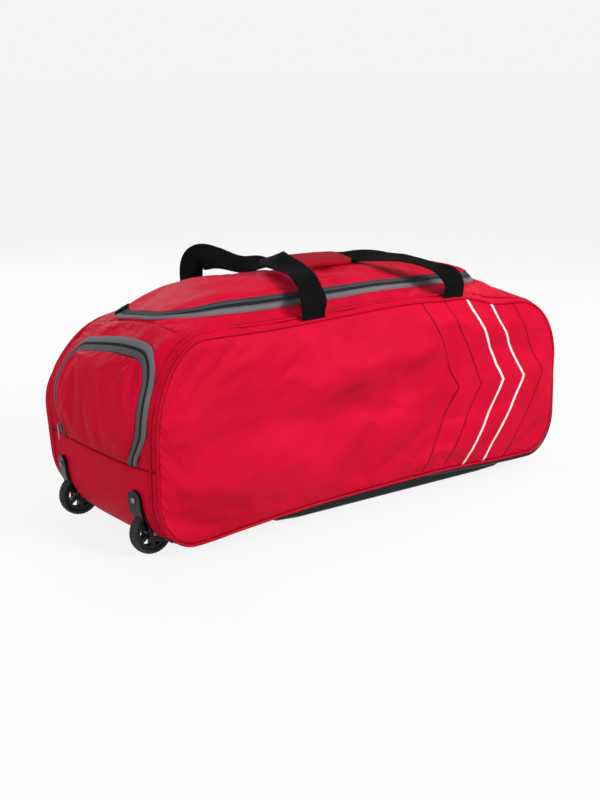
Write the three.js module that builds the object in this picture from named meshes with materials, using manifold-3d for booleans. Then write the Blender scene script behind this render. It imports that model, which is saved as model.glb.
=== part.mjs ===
// A wheeled kit bag: a long padded duffel of red cloth, 0.9 m long, with a zipped lid, an end pocket,
// two carrying handles held in one grip wrap, two wheels in plastic housings and two skid rails.
// Millimetres. X runs along the bag with the wheels at -X, the front panel faces -Y, Z is up.
import * as THREE from 'three';
import Module from 'manifold-3d';

const wasm = await Module();
wasm.setup();

// Body
const BODY_LENGTH = 860;
const BODY_WIDTH = 326;
const SEAM_TOP = 346;
const BASE_LIFT = 36;
const CLOTH = 2;
const GAP = 0.3;
const SEAT_GAP = 0.9;
const PIPING_RADIUS = 2.6;
const SIDE_BULGE = 12;
const END_CROWN = 15;
const TOP_CROWN = 24;
const BASE_CROWN = 8;
const FOLD_DEPTH = 7;
const SLUMP = 26;
const SPREAD = 18;

// Lid and its zip
const LID_LENGTH = 636;
const LID_WIDTH = 226;
const LID_CORNER = 44;
const LID_SHIFT = -25;
const LID_RISER = 25;
const LID_DOME = 18;
const ZIP_BAND = 24;
const TAPE = 1.6;
const COIL = 3.2;

// End pocket
const POCKET_BOTTOM = 135;
const POCKET_TOP = 311;
const POCKET_WIDTH = 278;
const POCKET_SHIFT = -4;
const POCKET_CORNER = 54;
const POCKET_PUFF = 8;
const POCKET_BAND = 20;
const POCKET_TAPER = 55;
const POCKET_SLIDER_RISE = 24;
const END_SEAM = 132;

// Handles
const STRAP_WIDTH = 46;
const STRAP_THICK = 2;
const STRAP_SPREAD = 2.5;
const HANDLE_SPAN = 304;
const HANDLE_SHIFT = 16;
const HANDLE_LIFT = 30;
const WRAP_LENGTH = 127;
const WRAP_HALF_WIDTH = 29;
const WRAP_HALF_HEIGHT = 7.4;
const WRAP_WALL = 2.5;
const PULL_WIDTH = 38;
const PULL_SPAN = 150;
const PULL_STAND = 14;
const PULL_HEIGHT = 172;
const PULLER_LENGTH = 26;
const PULLER_WIDTH = 5;
const PULLER_THICK = 1.6;

// Running gear
const WHEEL_RADIUS = 36;
const WHEEL_WIDTH = 17;
const WHEEL_INSET = 13.5;
const WHEEL_SIDE_INSET = 48;
const HUB_RADIUS = 29;
const AXLE_RADIUS = 4;
const BORE_CLEARANCE = 0.4;
const WHEEL_SIDE_GAP = 2.5;
const WHEEL_TOP_GAP = 3;
const HOUSING_WALL = 3;
const TAB_TOP = 108;
const TAB_THICK = 6;
const RIVET_RADIUS = 5;
const HOUSING_FROM = -25;
const HOUSING_TO = 120;
const SKID_WIDTH = 26;
const SKID_SIDE_INSET = 50;
const SKID_WHEEL_INSET = 228;
const SKID_FAR_INSET = 77;
const SKID_GUARD_GAP = 12;
const SKID_TAPER = 46;
const GUARD_TOP = 132;
const GUARD_THICK = 5;

const HALF_LENGTH = BODY_LENGTH / 2;
const HALF_WIDTH = BODY_WIDTH / 2;
const WHEEL_X = WHEEL_INSET - HALF_LENGTH;
const WHEEL_Y = HALF_WIDTH - WHEEL_SIDE_INSET;
const SKID_Y = HALF_WIDTH - SKID_SIDE_INSET;
const SKID_START = SKID_WHEEL_INSET - HALF_LENGTH;
const SKID_END = HALF_LENGTH - SKID_FAR_INSET;
const HOUSING_WIDTH = WHEEL_WIDTH + 2 * WHEEL_SIDE_GAP + 2 * HOUSING_WALL;
const FENDER_RADIUS = WHEEL_RADIUS + WHEEL_TOP_GAP + HOUSING_WALL;
const SEAM_INSET = PIPING_RADIUS + GAP;
const CORNER_STEPS = 6;
const RUN_STEPS = 16;
const CROWN_POWER = 3;

// The four rounded corners of the side seam: shares of the half length and of the seam height.
const CORNERS = {
  wheelTop: { rx: 0.207, rz: 0.457, level: 0.977 },
  wheelBase: { rx: 0.149, rz: 0.243, level: 0.046 },
  farBase: { rx: 0.136, rz: 0.217, level: 0.087 },
  farTop: { rx: 0.241, rz: 0.332, level: 0.925 },
};
// The seam between the corners, at a share of the run: heights as shares of SEAM_TOP and BASE_LIFT.
const TOP_RUN = [
  { at: 0.0, height: 0.977 },
  { at: 0.2, height: 0.976 },
  { at: 0.43, height: 0.991 },
  { at: 0.58, height: 1.0 },
  { at: 0.73, height: 0.991 },
  { at: 0.81, height: 0.983 },
  { at: 0.86, height: 0.962 },
  { at: 0.91, height: 0.936 },
  { at: 1.0, height: 0.925 },
];
const BASE_RUN = [
  { at: 0.0, height: 0.44 },
  { at: 0.13, height: 0.64 },
  { at: 0.26, height: 0.83 },
  { at: 0.4, height: 0.94 },
  { at: 0.7, height: 1.0 },
  { at: 0.9, height: 0.85 },
  { at: 1.0, height: 0.83 },
];
// Along the length, at a share of HALF_LENGTH: crown of the shoulder as a share of TOP_CROWN,
// step of the zip band as a share of LID_RISER, and dome of the lid as a share of LID_DOME.
const TOP_FORM = [
  { at: -0.85, crown: 0.5, riser: 0.8, dome: 0.3 },
  { at: -0.78, crown: 0.85, riser: 0.85, dome: 0.4 },
  { at: -0.69, crown: 1.25, riser: 0.9, dome: 0.6 },
  { at: -0.57, crown: 1.2, riser: 1.0, dome: 0.8 },
  { at: -0.31, crown: 1.05, riser: 0.78, dome: 1.0 },
  { at: 0.0, crown: 0.97, riser: 0.64, dome: 0.65 },
  { at: 0.33, crown: 1.05, riser: 0.54, dome: 0.38 },
  { at: 0.45, crown: 1.2, riser: 0.5, dome: 0.32 },
  { at: 0.6, crown: 1.7, riser: 0.46, dome: 0.25 },
  { at: 0.66, crown: 1.65, riser: 0.44, dome: 0.2 },
  { at: 0.72, crown: 1.3, riser: 0.44, dome: 0.2 },
  { at: 0.8, crown: 0.6, riser: 0.44, dome: 0.2 },
];
// Folds of the side panels. x and along: shares of HALF_LENGTH; z and across: shares of SEAM_TOP;
// turn: degrees from the X axis; depth: share of FOLD_DEPTH, negative for a ridge.
const SIDE_FOLDS = [
  { fold: 'tuck under the wheel-end corner', x: -0.7, z: 0.93, along: 0.1, across: 0.03, turn: 52, depth: 1.0 },
  { fold: 'upright hollow past the middle', x: 0.36, z: 0.5, along: 0.22, across: 0.05, turn: 83, depth: 1.0 },
  { fold: 'long ridge below the strap', x: 0.2, z: 0.77, along: 0.4, across: 0.08, turn: 4, depth: -0.9 },
  { fold: 'pucker at the far top corner', x: 0.64, z: 0.86, along: 0.12, across: 0.04, turn: -35, depth: 0.8 },
  { fold: 'slack above the wheel-end base', x: -0.62, z: 0.22, along: 0.2, across: 0.07, turn: 25, depth: 0.6 },
  { fold: 'sag between the rail ends', x: 0.1, z: 0.2, along: 0.5, across: 0.07, turn: 2, depth: 0.4 },
];
// Creases of the pocket flap: y as a share of the half width, z from bottom 0 to top 1.
const POCKET_FOLDS = [
  { fold: 'left crease', y: -0.3, z: 0.15, along: 0.3, across: 0.07, depth: 0.35 },
  { fold: 'middle crease', y: 0.12, z: 0.2, along: 0.35, across: 0.08, depth: 0.45 },
  { fold: 'right crease', y: 0.5, z: 0.3, along: 0.3, across: 0.1, depth: 0.3 },
];
// Handle sections. x: share of half the span from the middle; y: share of HALF_WIDTH;
// lift: share of HANDLE_LIFT above the cloth below; wx, wy, wz: the way across the webbing.
const FRONT_STRAP = [
  { x: -1.0, y: -1.0, lift: 0.065, wx: 1, wy: 0, wz: 0 },
  { x: -0.99, y: -0.985, lift: 0.8, wx: 1, wy: 0, wz: 0 },
  { x: -0.91, y: -0.87, lift: 0.95, wx: 1, wy: 0, wz: 0.02 },
  { x: -0.85, y: -0.66, lift: 0.7, wx: 1, wy: 0, wz: 0.06 },
  { x: -0.78, y: -0.38, lift: 0.72, wx: 0.97, wy: 0, wz: 0.2 },
  { x: -0.77, y: -0.07, lift: 0.85, wx: 0.85, wy: 0, wz: 0.45 },
  { x: -0.63, y: 0.15, lift: 0.85, wx: 0.55, wy: -0.78, wz: 0.3 },
  { wrap: -0.55 },
  { wrap: -0.4 },
  { wrap: 0 },
  { wrap: 0.4 },
  { wrap: 0.55 },
  { x: 0.66, y: 0.15, lift: 0.55, wx: -0.6, wy: -0.72, wz: -0.3 },
  { x: 0.73, y: -0.12, lift: 0.62, wx: -0.95, wy: -0.2, wz: -0.22 },
  { x: 0.73, y: -0.43, lift: 0.58, wx: -0.98, wy: 0, wz: -0.12 },
  { x: 0.78, y: -0.72, lift: 0.75, wx: -0.98, wy: 0, wz: 0.06 },
  { x: 0.91, y: -0.93, lift: 0.85, wx: -1, wy: 0, wz: 0.04 },
  { x: 0.99, y: -1.0, lift: 0.6, wx: -1, wy: 0, wz: 0 },
  { x: 1.0, y: -1.0, lift: 0.065, wx: -1, wy: 0, wz: 0 },
];
const BACK_STRAP = [
  { x: -1.05, y: 1.0, lift: 0.065, wx: 1, wy: 0, wz: 0 },
  { x: -1.12, y: 1.0, lift: 0.9, wx: 1, wy: 0, wz: -0.05 },
  { x: -1.12, y: 0.93, lift: 1.7, wx: 0.7, wy: 0, wz: -0.7 },
  { x: -0.95, y: 0.8, lift: 1.1, wx: 0.2, wy: -0.65, wz: -0.73 },
  { x: -0.76, y: 0.55, lift: 0.82, wx: 0, wy: -0.93, wz: -0.3 },
  { x: -0.6, y: 0.3, lift: 0.42, wx: 0, wy: -0.99, wz: -0.12 },
  { wrap: -0.55 },
  { wrap: -0.4 },
  { wrap: 0 },
  { wrap: 0.4 },
  { wrap: 0.55 },
  { x: 0.66, y: 0.31, lift: 0.35, wx: 0.55, wy: -0.8, wz: -0.05 },
  { x: 0.82, y: 0.55, lift: 0.6, wx: 0.95, wy: -0.25, wz: 0 },
  { x: 0.92, y: 0.8, lift: 1.1, wx: 1, wy: 0, wz: 0 },
  { x: 0.98, y: 0.97, lift: 1.0, wx: 1, wy: 0, wz: 0 },
  { x: 1.0, y: 1.0, lift: 0.065, wx: 1, wy: 0, wz: 0 },
];
const WRAP_Y_SHARE = 0.2;
const WRAP_ROLL = 0.12;

const finish = {
  red: { color: 0xc81733, roughness: 0.75, metalness: 0 },
  redDark: { color: 0xa80c22, roughness: 0.75, metalness: 0 },
  grey: { color: 0x6f6f76, roughness: 0.8, metalness: 0 },
  dark: { color: 0x1c1c22, roughness: 0.5, metalness: 0 },
  webbing: { color: 0x121214, roughness: 0.85, metalness: 0 },
  plastic: { color: 0x161618, roughness: 0.45, metalness: 0 },
  rubber: { color: 0x3c3c40, roughness: 0.85, metalness: 0 },
  metal: { color: 0xb8b8bc, roughness: 0.3, metalness: 1 },
};

const mix = THREE.MathUtils.lerp;
const clamp = THREE.MathUtils.clamp;
const ease = (t) => THREE.MathUtils.smoothstep(t, 0, 1);

// The cloth gives way at the back of the wheel end: it sinks at the top and leans out below.
// Each range is a share of the half length, the half width or the seam height.
const SETTLE = {
  x: [0.45, 0.9],
  y: [-0.5, 1],
  sink: [0.4, 0.95],
  lean: [0.35, 1],
};

function share(value, [from, to]) {
  return clamp((value - from) / (to - from), 0, 1);
}

function settle(positions) {
  for (let i = 0; i < positions.count; i += 1) {
    const [x, y, z] = [positions.getX(i), positions.getY(i), positions.getZ(i)];
    const place = ease(share(-x / HALF_LENGTH, SETTLE.x)) * ease(share(y / HALF_WIDTH, SETTLE.y));
    const lean = Math.sin(Math.PI * share(z / SEAM_TOP, SETTLE.lean)) ** 2;
    const sink = ease(share(z / SEAM_TOP, SETTLE.sink));
    positions.setXYZ(i, x, y + SPREAD * place * lean, z - SLUMP * place * sink);
  }
}

const bag = new THREE.Group();

function addPiece(name, geometry, look) {
  settle(geometry.getAttribute('position'));
  const mesh = new THREE.Mesh(geometry, new THREE.MeshStandardMaterial(finish[look]));
  mesh.name = name;
  bag.add(mesh);
}


function point(x, y, z) {
  return new THREE.Vector3(x, y, z);
}

// A smooth value between the rows of a table, level at both ends.
function tableAt(rows, at, column) {
  const last = rows.length - 1;
  const where = clamp(at, rows[0].at, rows[last].at);
  let i = 0;
  while (i < last - 1 && rows[i + 1].at < where) {
    i += 1;
  }
  const span = rows[i + 1].at - rows[i].at;
  const t = (where - rows[i].at) / span;
  const slope = (j) => {
    if (j === 0 || j === last) {
      return 0;
    }
    return (rows[j + 1][column] - rows[j - 1][column]) / (rows[j + 1].at - rows[j - 1].at);
  };
  const a = rows[i][column];
  const b = rows[i + 1][column];
  const h = t * t * (3 - 2 * t);
  return a + (b - a) * h + span * t * (1 - t) * ((1 - t) * slope(i) - t * slope(i + 1));
}

// Points nearer than this become one corner of a mesh.
const SHARE_STEP = 0.0013;

// A closed triangle mesh from quads of points. Equal points are shared and flat triangles dropped.
class Surface {
  constructor() {
    this.positions = [];
    this.index = [];
    this.known = new Map();
  }

  vertex(p) {
    const key = [p.x, p.y, p.z].map((v) => Math.round(v / SHARE_STEP)).join(',');
    if (!this.known.has(key)) {
      this.known.set(key, this.positions.length / 3);
      this.positions.push(p.x, p.y, p.z);
    }
    return this.known.get(key);
  }

  triangle(a, b, c) {
    if (a !== b && b !== c && c !== a) {
      this.index.push(a, b, c);
    }
  }

  quad(pa, pb, pc, pd) {
    const [a, b, c, d] = [pa, pb, pc, pd].map((p) => this.vertex(p));
    this.triangle(a, b, c);
    this.triangle(a, c, d);
  }

  volume() {
    let sum = 0;
    const at = (i) => new THREE.Vector3().fromArray(this.positions, i * 3);
    for (let t = 0; t < this.index.length; t += 3) {
      sum += at(this.index[t]).dot(at(this.index[t + 1]).cross(at(this.index[t + 2])));
    }
    return sum / 6;
  }

  geometry() {
    if (this.volume() < 0) {
      this.index.reverse();
    }
    const geometry = new THREE.BufferGeometry();
    geometry.setAttribute('position', new THREE.Float32BufferAttribute(this.positions, 3));
    geometry.setIndex(this.index);
    return geometry;
  }
}

// A cloth or plastic wall: a grid of points with their normals, thickened to both sides. A ring is
// joined end to end, and a dome is a ring whose last column meets itself along a line.
function wallGeometry(grid, wall, form = 'sheet') {
  const ring = form !== 'sheet';
  const rims = form === 'dome' ? [[0, 1, -1]] : [[0, 1, -1], [grid[0].length - 1, -1, 1]];
  const surface = new Surface();
  const lift = (cell, side) => cell.p.clone().addScaledVector(cell.n, (side * wall) / 2);
  const rows = grid.length;
  const columns = grid[0].length;
  const rowSteps = ring ? rows : rows - 1;
  for (let i = 0; i < rowSteps; i += 1) {
    const here = grid[i];
    const next = grid[(i + 1) % rows];
    for (let j = 0; j < columns - 1; j += 1) {
      const cells = [here[j], next[j], next[j + 1], here[j + 1]];
      surface.quad(...cells.map((cell) => lift(cell, 1)));
      surface.quad(...cells.reverse().map((cell) => lift(cell, -1)));
    }
    for (const [j, a, b] of rims) {
      surface.quad(lift(here[j], a), lift(here[j], b), lift(next[j], b), lift(next[j], a));
    }
  }
  if (!ring) {
    for (const [i, a, b] of [[0, -1, 1], [rows - 1, 1, -1]]) {
      for (let j = 0; j < columns - 1; j += 1) {
        const pair = [grid[i][j], grid[i][j + 1]];
        surface.quad(lift(pair[0], a), lift(pair[0], b), lift(pair[1], b), lift(pair[1], a));
      }
    }
  }
  return surface.geometry();
}

// A solid through sections with equal numbers of points, closed on itself or capped at both ends.
function loftGeometry(sections, closed = false) {
  const surface = new Surface();
  const count = sections[0].length;
  const steps = closed ? sections.length : sections.length - 1;
  for (let i = 0; i < steps; i += 1) {
    const here = sections[i];
    const next = sections[(i + 1) % sections.length];
    for (let j = 0; j < count; j += 1) {
      const k = (j + 1) % count;
      surface.quad(here[j], next[j], next[k], here[k]);
    }
  }
  if (!closed) {
    const ends = [sections[0], [...sections[sections.length - 1]].reverse()];
    for (const cap of ends) {
      const ids = cap.map((p) => surface.vertex(p));
      for (let j = 1; j < count - 1; j += 1) {
        surface.triangle(ids[0], ids[j], ids[j + 1]);
      }
    }
  }
  return surface.geometry();
}

// Normals of a grid from its own neighbours.
function withNormals(points) {
  return points.map((row, i) => row.map((p, j) => {
    const up = points[Math.min(i + 1, points.length - 1)][j];
    const down = points[Math.max(i - 1, 0)][j];
    const right = row[Math.min(j + 1, row.length - 1)];
    const left = row[Math.max(j - 1, 0)];
    const n = up.clone().sub(down).cross(right.clone().sub(left)).normalize();
    return { p, n };
  }));
}

// The same shape with shared corners and no flat triangles.
function tidy(geometry) {
  const surface = new Surface();
  const flat = geometry.index ? geometry.toNonIndexed() : geometry;
  const position = flat.getAttribute('position');
  for (let i = 0; i < position.count; i += 3) {
    const corners = [0, 1, 2].map((j) => new THREE.Vector3().fromBufferAttribute(position, i + j));
    surface.triangle(...corners.map((p) => surface.vertex(p)));
  }
  return surface.geometry();
}

function toSolid(geometry) {
  const clean = tidy(geometry);
  const mesh = new wasm.Mesh({
    numProp: 3,
    vertProperties: new Float32Array(clean.getAttribute('position').array),
    triVerts: new Uint32Array(clean.index.array),
  });
  return new wasm.Manifold(mesh);
}

function fromSolid(solid) {
  const mesh = solid.getMesh();
  const geometry = new THREE.BufferGeometry();
  geometry.setAttribute('position', new THREE.Float32BufferAttribute(mesh.vertProperties, 3));
  geometry.setIndex(Array.from(mesh.triVerts));
  return geometry;
}

// An outline in X and Z, extruded along Y about a middle plane.
function plateXZ(outline, middleY, width) {
  const shape = new THREE.Shape(outline.map(([x, z]) => new THREE.Vector2(x, z)));
  const geometry = new THREE.ExtrudeGeometry(shape, { depth: width, bevelEnabled: false, steps: 1 });
  geometry.rotateX(Math.PI / 2);
  geometry.translate(0, middleY + width / 2, 0);
  return geometry;
}

function arcPoints(cx, cz, radius, from, to, steps) {
  const points = [];
  for (let i = 0; i <= steps; i += 1) {
    const a = THREE.MathUtils.degToRad(mix(from, to, i / steps));
    points.push([cx + radius * Math.cos(a), cz + radius * Math.sin(a)]);
  }
  return points;
}

// A box with its own axes.
function orientedBox(centre, across, along, out, sizes) {
  const geometry = new THREE.BoxGeometry(...sizes);
  const turn = new THREE.Matrix4().makeBasis(across, along, out);
  geometry.applyMatrix4(turn.setPosition(centre));
  return geometry;
}

// The side seam, seen from the front: matched stations along the top and along the base.
function cornerStation(corner, sideX, sideZ, angle) {
  const rx = corner.rx * HALF_LENGTH;
  const rz = corner.rz * SEAM_TOP;
  const cx = sideX * (HALF_LENGTH - rx);
  const cz = corner.level * SEAM_TOP - sideZ * rz;
  const n = new THREE.Vector2((sideX * Math.cos(angle)) / rx, (sideZ * Math.sin(angle)) / rz).normalize();
  return {
    x: cx + sideX * rx * Math.cos(angle),
    z: cz + sideZ * rz * Math.sin(angle),
    nx: n.x,
    nz: n.y,
  };
}

function runStation(left, right, rows, height, sideZ, share) {
  return {
    x: mix(left.x, right.x, share),
    z: tableAt(rows, share, 'height') * height,
    nx: 0,
    nz: sideZ,
  };
}

function seamSide(leftCorner, rightCorner, rows, height, sideZ) {
  const stations = [];
  const quarter = Math.PI / 2;
  for (let i = 0; i <= CORNER_STEPS; i += 1) {
    stations.push(cornerStation(leftCorner, -1, sideZ, (i / CORNER_STEPS) * quarter));
  }
  const left = cornerStation(leftCorner, -1, sideZ, quarter);
  const right = cornerStation(rightCorner, 1, sideZ, quarter);
  for (let i = 1; i < RUN_STEPS; i += 1) {
    stations.push(runStation(left, right, rows, height, sideZ, i / RUN_STEPS));
  }
  for (let i = CORNER_STEPS; i >= 0; i -= 1) {
    stations.push(cornerStation(rightCorner, 1, sideZ, (i / CORNER_STEPS) * quarter));
  }
  return stations;
}

const topSeam = seamSide(CORNERS.wheelTop, CORNERS.farTop, TOP_RUN, SEAM_TOP, 1);
const baseSeam = seamSide(CORNERS.wheelBase, CORNERS.farBase, BASE_RUN, BASE_LIFT, -1);
const seamLast = topSeam.length - 1;
// Once round the seam: up the wheel end, along the top, down the far end and back along the base.
const rail = [baseSeam[0], ...topSeam, ...baseSeam.slice(1).reverse()];
const RAIL_TOP_START = 1 + CORNER_STEPS;
const RAIL_TOP_END = RAIL_TOP_START + RUN_STEPS;
const RAIL_FAR_TOP = 1 + seamLast;
const RAIL_FAR_BASE = RAIL_FAR_TOP + 1;
const RAIL_END_SEAM = CORNER_STEPS;
const RAIL_FAR_SEAM = RAIL_TOP_END + 1;

function railAt(k) {
  const whole = Math.floor(k);
  const t = k - whole;
  const wrap = (i) => rail[((i % rail.length) + rail.length) % rail.length];
  const a = wrap(whole);
  const b = wrap(whole + 1);
  const n = new THREE.Vector2(mix(a.nx, b.nx, t), mix(a.nz, b.nz, t)).normalize();
  return { x: mix(a.x, b.x, t), z: mix(a.z, b.z, t), nx: n.x, nz: n.y };
}

function railStep(k) {
  const a = railAt(k - 0.01);
  const b = railAt(k + 0.01);
  return Math.hypot(b.x - a.x, b.z - a.z) / 0.02;
}

function crownShare(y) {
  return 1 - Math.abs(clamp(y / HALF_WIDTH, -1, 1)) ** CROWN_POWER;
}

// The cloth that joins the two side seams: a point at rail place k and width y, moved out by off.
function gusset(k, y, off = 0) {
  const s = railAt(k);
  const top = tableAt(TOP_FORM, s.x / HALF_LENGTH, 'crown') * TOP_CROWN * Math.max(s.nz, 0) ** 2;
  const base = BASE_CROWN * Math.max(-s.nz, 0) ** 2;
  const crown = (END_CROWN * s.nx ** 2 + top + base) * crownShare(y) + off;
  return point(s.x + s.nx * crown, y, s.z + s.nz * crown);
}

function gussetNormal(k, y) {
  const dk = 0.02;
  const dy = 0.5;
  const alongRail = gusset(k + dk, y).sub(gusset(k - dk, y));
  const acrossBag = gusset(k, y + dy).sub(gusset(k, y - dy));
  return alongRail.cross(acrossBag).normalize();
}

function gussetCell(k, y, off = 0) {
  const n = gussetNormal(k, y);
  return { p: gusset(k, y).addScaledVector(n, off), n };
}

// A panel of that cloth between two rail places, on the given widths.
function gussetPanel(from, to, widths, wall = CLOTH, off = 0, margin = GAP / 2) {
  const stations = [from + margin / railStep(from + 0.05)];
  for (let k = Math.floor(from) + 1; k < to - 0.02; k += 1) {
    if (k > from + 0.02) {
      stations.push(k);
    }
  }
  stations.push(to - margin / railStep(to - 0.05));
  return wallGeometry(stations.map((k) => widths.map((y) => gussetCell(k, y, off))), wall);
}

function evenly(from, to, steps) {
  return Array.from({ length: steps + 1 }, (_, i) => mix(from, to, i / steps));
}

const PANEL_EDGE = HALF_WIDTH - SEAM_INSET;
const endWidths = evenly(-PANEL_EDGE, PANEL_EDGE, 8);

// Rail place of a height on the wheel end and on the far end.
function wheelEndRail(z) {
  for (let k = -CORNER_STEPS; k < RAIL_TOP_START; k += 1) {
    const a = railAt(k);
    const b = railAt(k + 1);
    if (z >= a.z && z <= b.z) {
      return k + (z - a.z) / (b.z - a.z);
    }
  }
  return 0;
}

function farEndRail(z) {
  for (let k = RAIL_TOP_END; k < RAIL_FAR_BASE + CORNER_STEPS; k += 1) {
    const a = railAt(k);
    const b = railAt(k + 1);
    if (z <= a.z && z >= b.z) {
      return k + (a.z - z) / (a.z - b.z);
    }
  }
  return RAIL_FAR_BASE;
}

// Side panels
function foldDepth(x, z) {
  let sum = 0;
  for (const row of SIDE_FOLDS) {
    const turn = THREE.MathUtils.degToRad(row.turn);
    const dx = x - row.x * HALF_LENGTH;
    const dz = z - row.z * SEAM_TOP;
    const a = (dx * Math.cos(turn) + dz * Math.sin(turn)) / (row.along * HALF_LENGTH);
    const b = (dz * Math.cos(turn) - dx * Math.sin(turn)) / (row.across * SEAM_TOP);
    sum += row.depth * FOLD_DEPTH * Math.exp(-a * a - b * b);
  }
  return sum;
}

const SIDE_ROWS = 7;
const BULGE_START = 0.16;
const BULGE_POWER = 0.62;

function sidePanel(side) {
  const points = topSeam.map((top, i) => {
    const base = baseSeam[i];
    const upper = { x: top.x - top.nx * SEAM_INSET, z: top.z - top.nz * SEAM_INSET };
    const lower = { x: base.x - base.nx * SEAM_INSET, z: base.z - base.nz * SEAM_INSET };
    return evenly(0, 1, SIDE_ROWS).map((v) => {
      const x = mix(lower.x, upper.x, v);
      const z = mix(lower.z, upper.z, v);
      const toEnd = clamp((HALF_LENGTH - Math.abs(x)) / (BULGE_START * BODY_LENGTH), 0, 1);
      const swell = Math.sin(Math.PI * v) ** BULGE_POWER * Math.sin((toEnd * Math.PI) / 2) ** BULGE_POWER;
      const inner = Math.min(1, swell * 1.5);
      return point(x, side * (HALF_WIDTH + SIDE_BULGE * swell - inner * foldDepth(x, z)), z);
    });
  });
  return wallGeometry(withNormals(points), CLOTH);
}

function piping(side) {
  const sides = 5;
  const sections = rail.map((s) => {
    const ring = [];
    for (let j = 0; j < sides; j += 1) {
      const a = (j / sides) * 2 * Math.PI;
      const out = PIPING_RADIUS * Math.cos(a);
      const wide = PIPING_RADIUS * Math.sin(a);
      ring.push(point(s.x + s.nx * out, side * HALF_WIDTH + wide, s.z + s.nz * out));
    }
    return ring;
  });
  return loftGeometry(sections, true);
}

// The lid opening: a rounded rectangle in plan, once round from the front left.
const LONG_STEPS = RUN_STEPS;
const SHORT_STEPS = 4;
const BEND_STEPS = 4;
const RING_STEPS = 2 * LONG_STEPS + 2 * SHORT_STEPS + 4 * BEND_STEPS;
const FRONT_RIGHT = LONG_STEPS;
const RIGHT_START = FRONT_RIGHT + BEND_STEPS;
const RIGHT_END = RIGHT_START + SHORT_STEPS;
const BACK_START = RIGHT_END + BEND_STEPS;
const BACK_END = BACK_START + LONG_STEPS;
const LEFT_START = BACK_END + BEND_STEPS;
const LEFT_END = LEFT_START + SHORT_STEPS;

function roundedRing(halfX, halfY, radius, shiftX) {
  const ring = [];
  const innerX = halfX - radius;
  const innerY = halfY - radius;
  const straight = (ax, ay, bx, by, mx, my, steps) => {
    for (let i = 0; i < steps; i += 1) {
      const t = i / steps;
      ring.push({ x: shiftX + mix(ax, bx, t), y: mix(ay, by, t), mx, my });
    }
  };
  const bend = (cx, cy, fromDegrees) => {
    for (let i = 0; i < BEND_STEPS; i += 1) {
      const a = THREE.MathUtils.degToRad(fromDegrees + (90 * i) / BEND_STEPS);
      const mx = Math.cos(a);
      const my = Math.sin(a);
      ring.push({ x: shiftX + cx + radius * mx, y: cy + radius * my, mx, my });
    }
  };
  straight(-innerX, -halfY, innerX, -halfY, 0, -1, LONG_STEPS);
  bend(innerX, -innerY, -90);
  straight(halfX, -innerY, halfX, innerY, 1, 0, SHORT_STEPS);
  bend(innerX, innerY, 0);
  straight(innerX, halfY, -innerX, halfY, 0, 1, LONG_STEPS);
  bend(-innerX, innerY, 90);
  straight(-halfX, innerY, -halfX, -innerY, -1, 0, SHORT_STEPS);
  bend(-innerX, -innerY, 180);
  return ring;
}

const opening = roundedRing(LID_LENGTH / 2, LID_WIDTH / 2, LID_CORNER, LID_SHIFT);

function topRail(x) {
  const left = topSeam[CORNER_STEPS].x;
  const right = topSeam[CORNER_STEPS + RUN_STEPS].x;
  return RAIL_TOP_START + (RUN_STEPS * (x - left)) / (right - left);
}

// The shoulder: cloth from the side seams to the lid opening.
function topShoulder() {
  const from = RAIL_END_SEAM + GAP / 2 / railStep(RAIL_END_SEAM + 0.05);
  const to = RAIL_FAR_SEAM - GAP / 2 / railStep(RAIL_FAR_SEAM - 0.05);
  const turned = 0.72 * PANEL_EDGE;
  const outer = [];
  const add = (ka, ya, kb, yb, steps) => {
    for (let i = 0; i < steps; i += 1) {
      outer.push({ k: mix(ka, kb, i / steps), y: mix(ya, yb, i / steps) });
    }
  };
  const half = BEND_STEPS / 2;
  add(RAIL_TOP_START, -PANEL_EDGE, RAIL_TOP_END, -PANEL_EDGE, LONG_STEPS);
  add(RAIL_TOP_END, -PANEL_EDGE, to, -PANEL_EDGE, half);
  add(to, -PANEL_EDGE, to, -turned, half);
  add(to, -turned, to, turned, SHORT_STEPS);
  add(to, turned, to, PANEL_EDGE, half);
  add(to, PANEL_EDGE, RAIL_TOP_END, PANEL_EDGE, half);
  add(RAIL_TOP_END, PANEL_EDGE, RAIL_TOP_START, PANEL_EDGE, LONG_STEPS);
  add(RAIL_TOP_START, PANEL_EDGE, from, PANEL_EDGE, half);
  add(from, PANEL_EDGE, from, turned, half);
  add(from, turned, from, -turned, SHORT_STEPS);
  add(from, -turned, from, -PANEL_EDGE, half);
  add(from, -PANEL_EDGE, RAIL_TOP_START, -PANEL_EDGE, half);
  const grid = outer.map((edge, i) => {
    const hole = opening[i];
    const inner = { k: topRail(hole.x), y: hole.y };
    return evenly(0, 1, 3).map((t) => gussetCell(mix(edge.k, inner.k, t), mix(edge.y, inner.y, t)));
  });
  return wallGeometry(grid, CLOTH, 'ring');
}

// The zip band round the opening: a point at ring place i and share e of the band's height.
function bandAt(place, e, off = 0) {
  const whole = Math.floor(place);
  const t = place - whole;
  const a = opening[((whole % RING_STEPS) + RING_STEPS) % RING_STEPS];
  const b = opening[(((whole + 1) % RING_STEPS) + RING_STEPS) % RING_STEPS];
  const m = new THREE.Vector2(mix(a.mx, b.mx, t), mix(a.my, b.my, t)).normalize();
  const inset = TAPE / 2 + GAP;
  const x = mix(a.x, b.x, t) - m.x * inset;
  const y = mix(a.y, b.y, t) - m.y * inset;
  const rise = tableAt(TOP_FORM, x / HALF_LENGTH, 'riser') * LID_RISER;
  const band = Math.max(ZIP_BAND, rise * 1.02);
  const lean = Math.sqrt(band * band - rise * rise);
  const p = gusset(topRail(x), y);
  p.x = x - m.x * lean * e;
  p.y = y - m.y * lean * e;
  p.z += rise * e;
  const n = point((m.x * rise) / band, (m.y * rise) / band, lean / band);
  p.addScaledVector(n, off);
  return { p, n, m, band };
}

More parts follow.
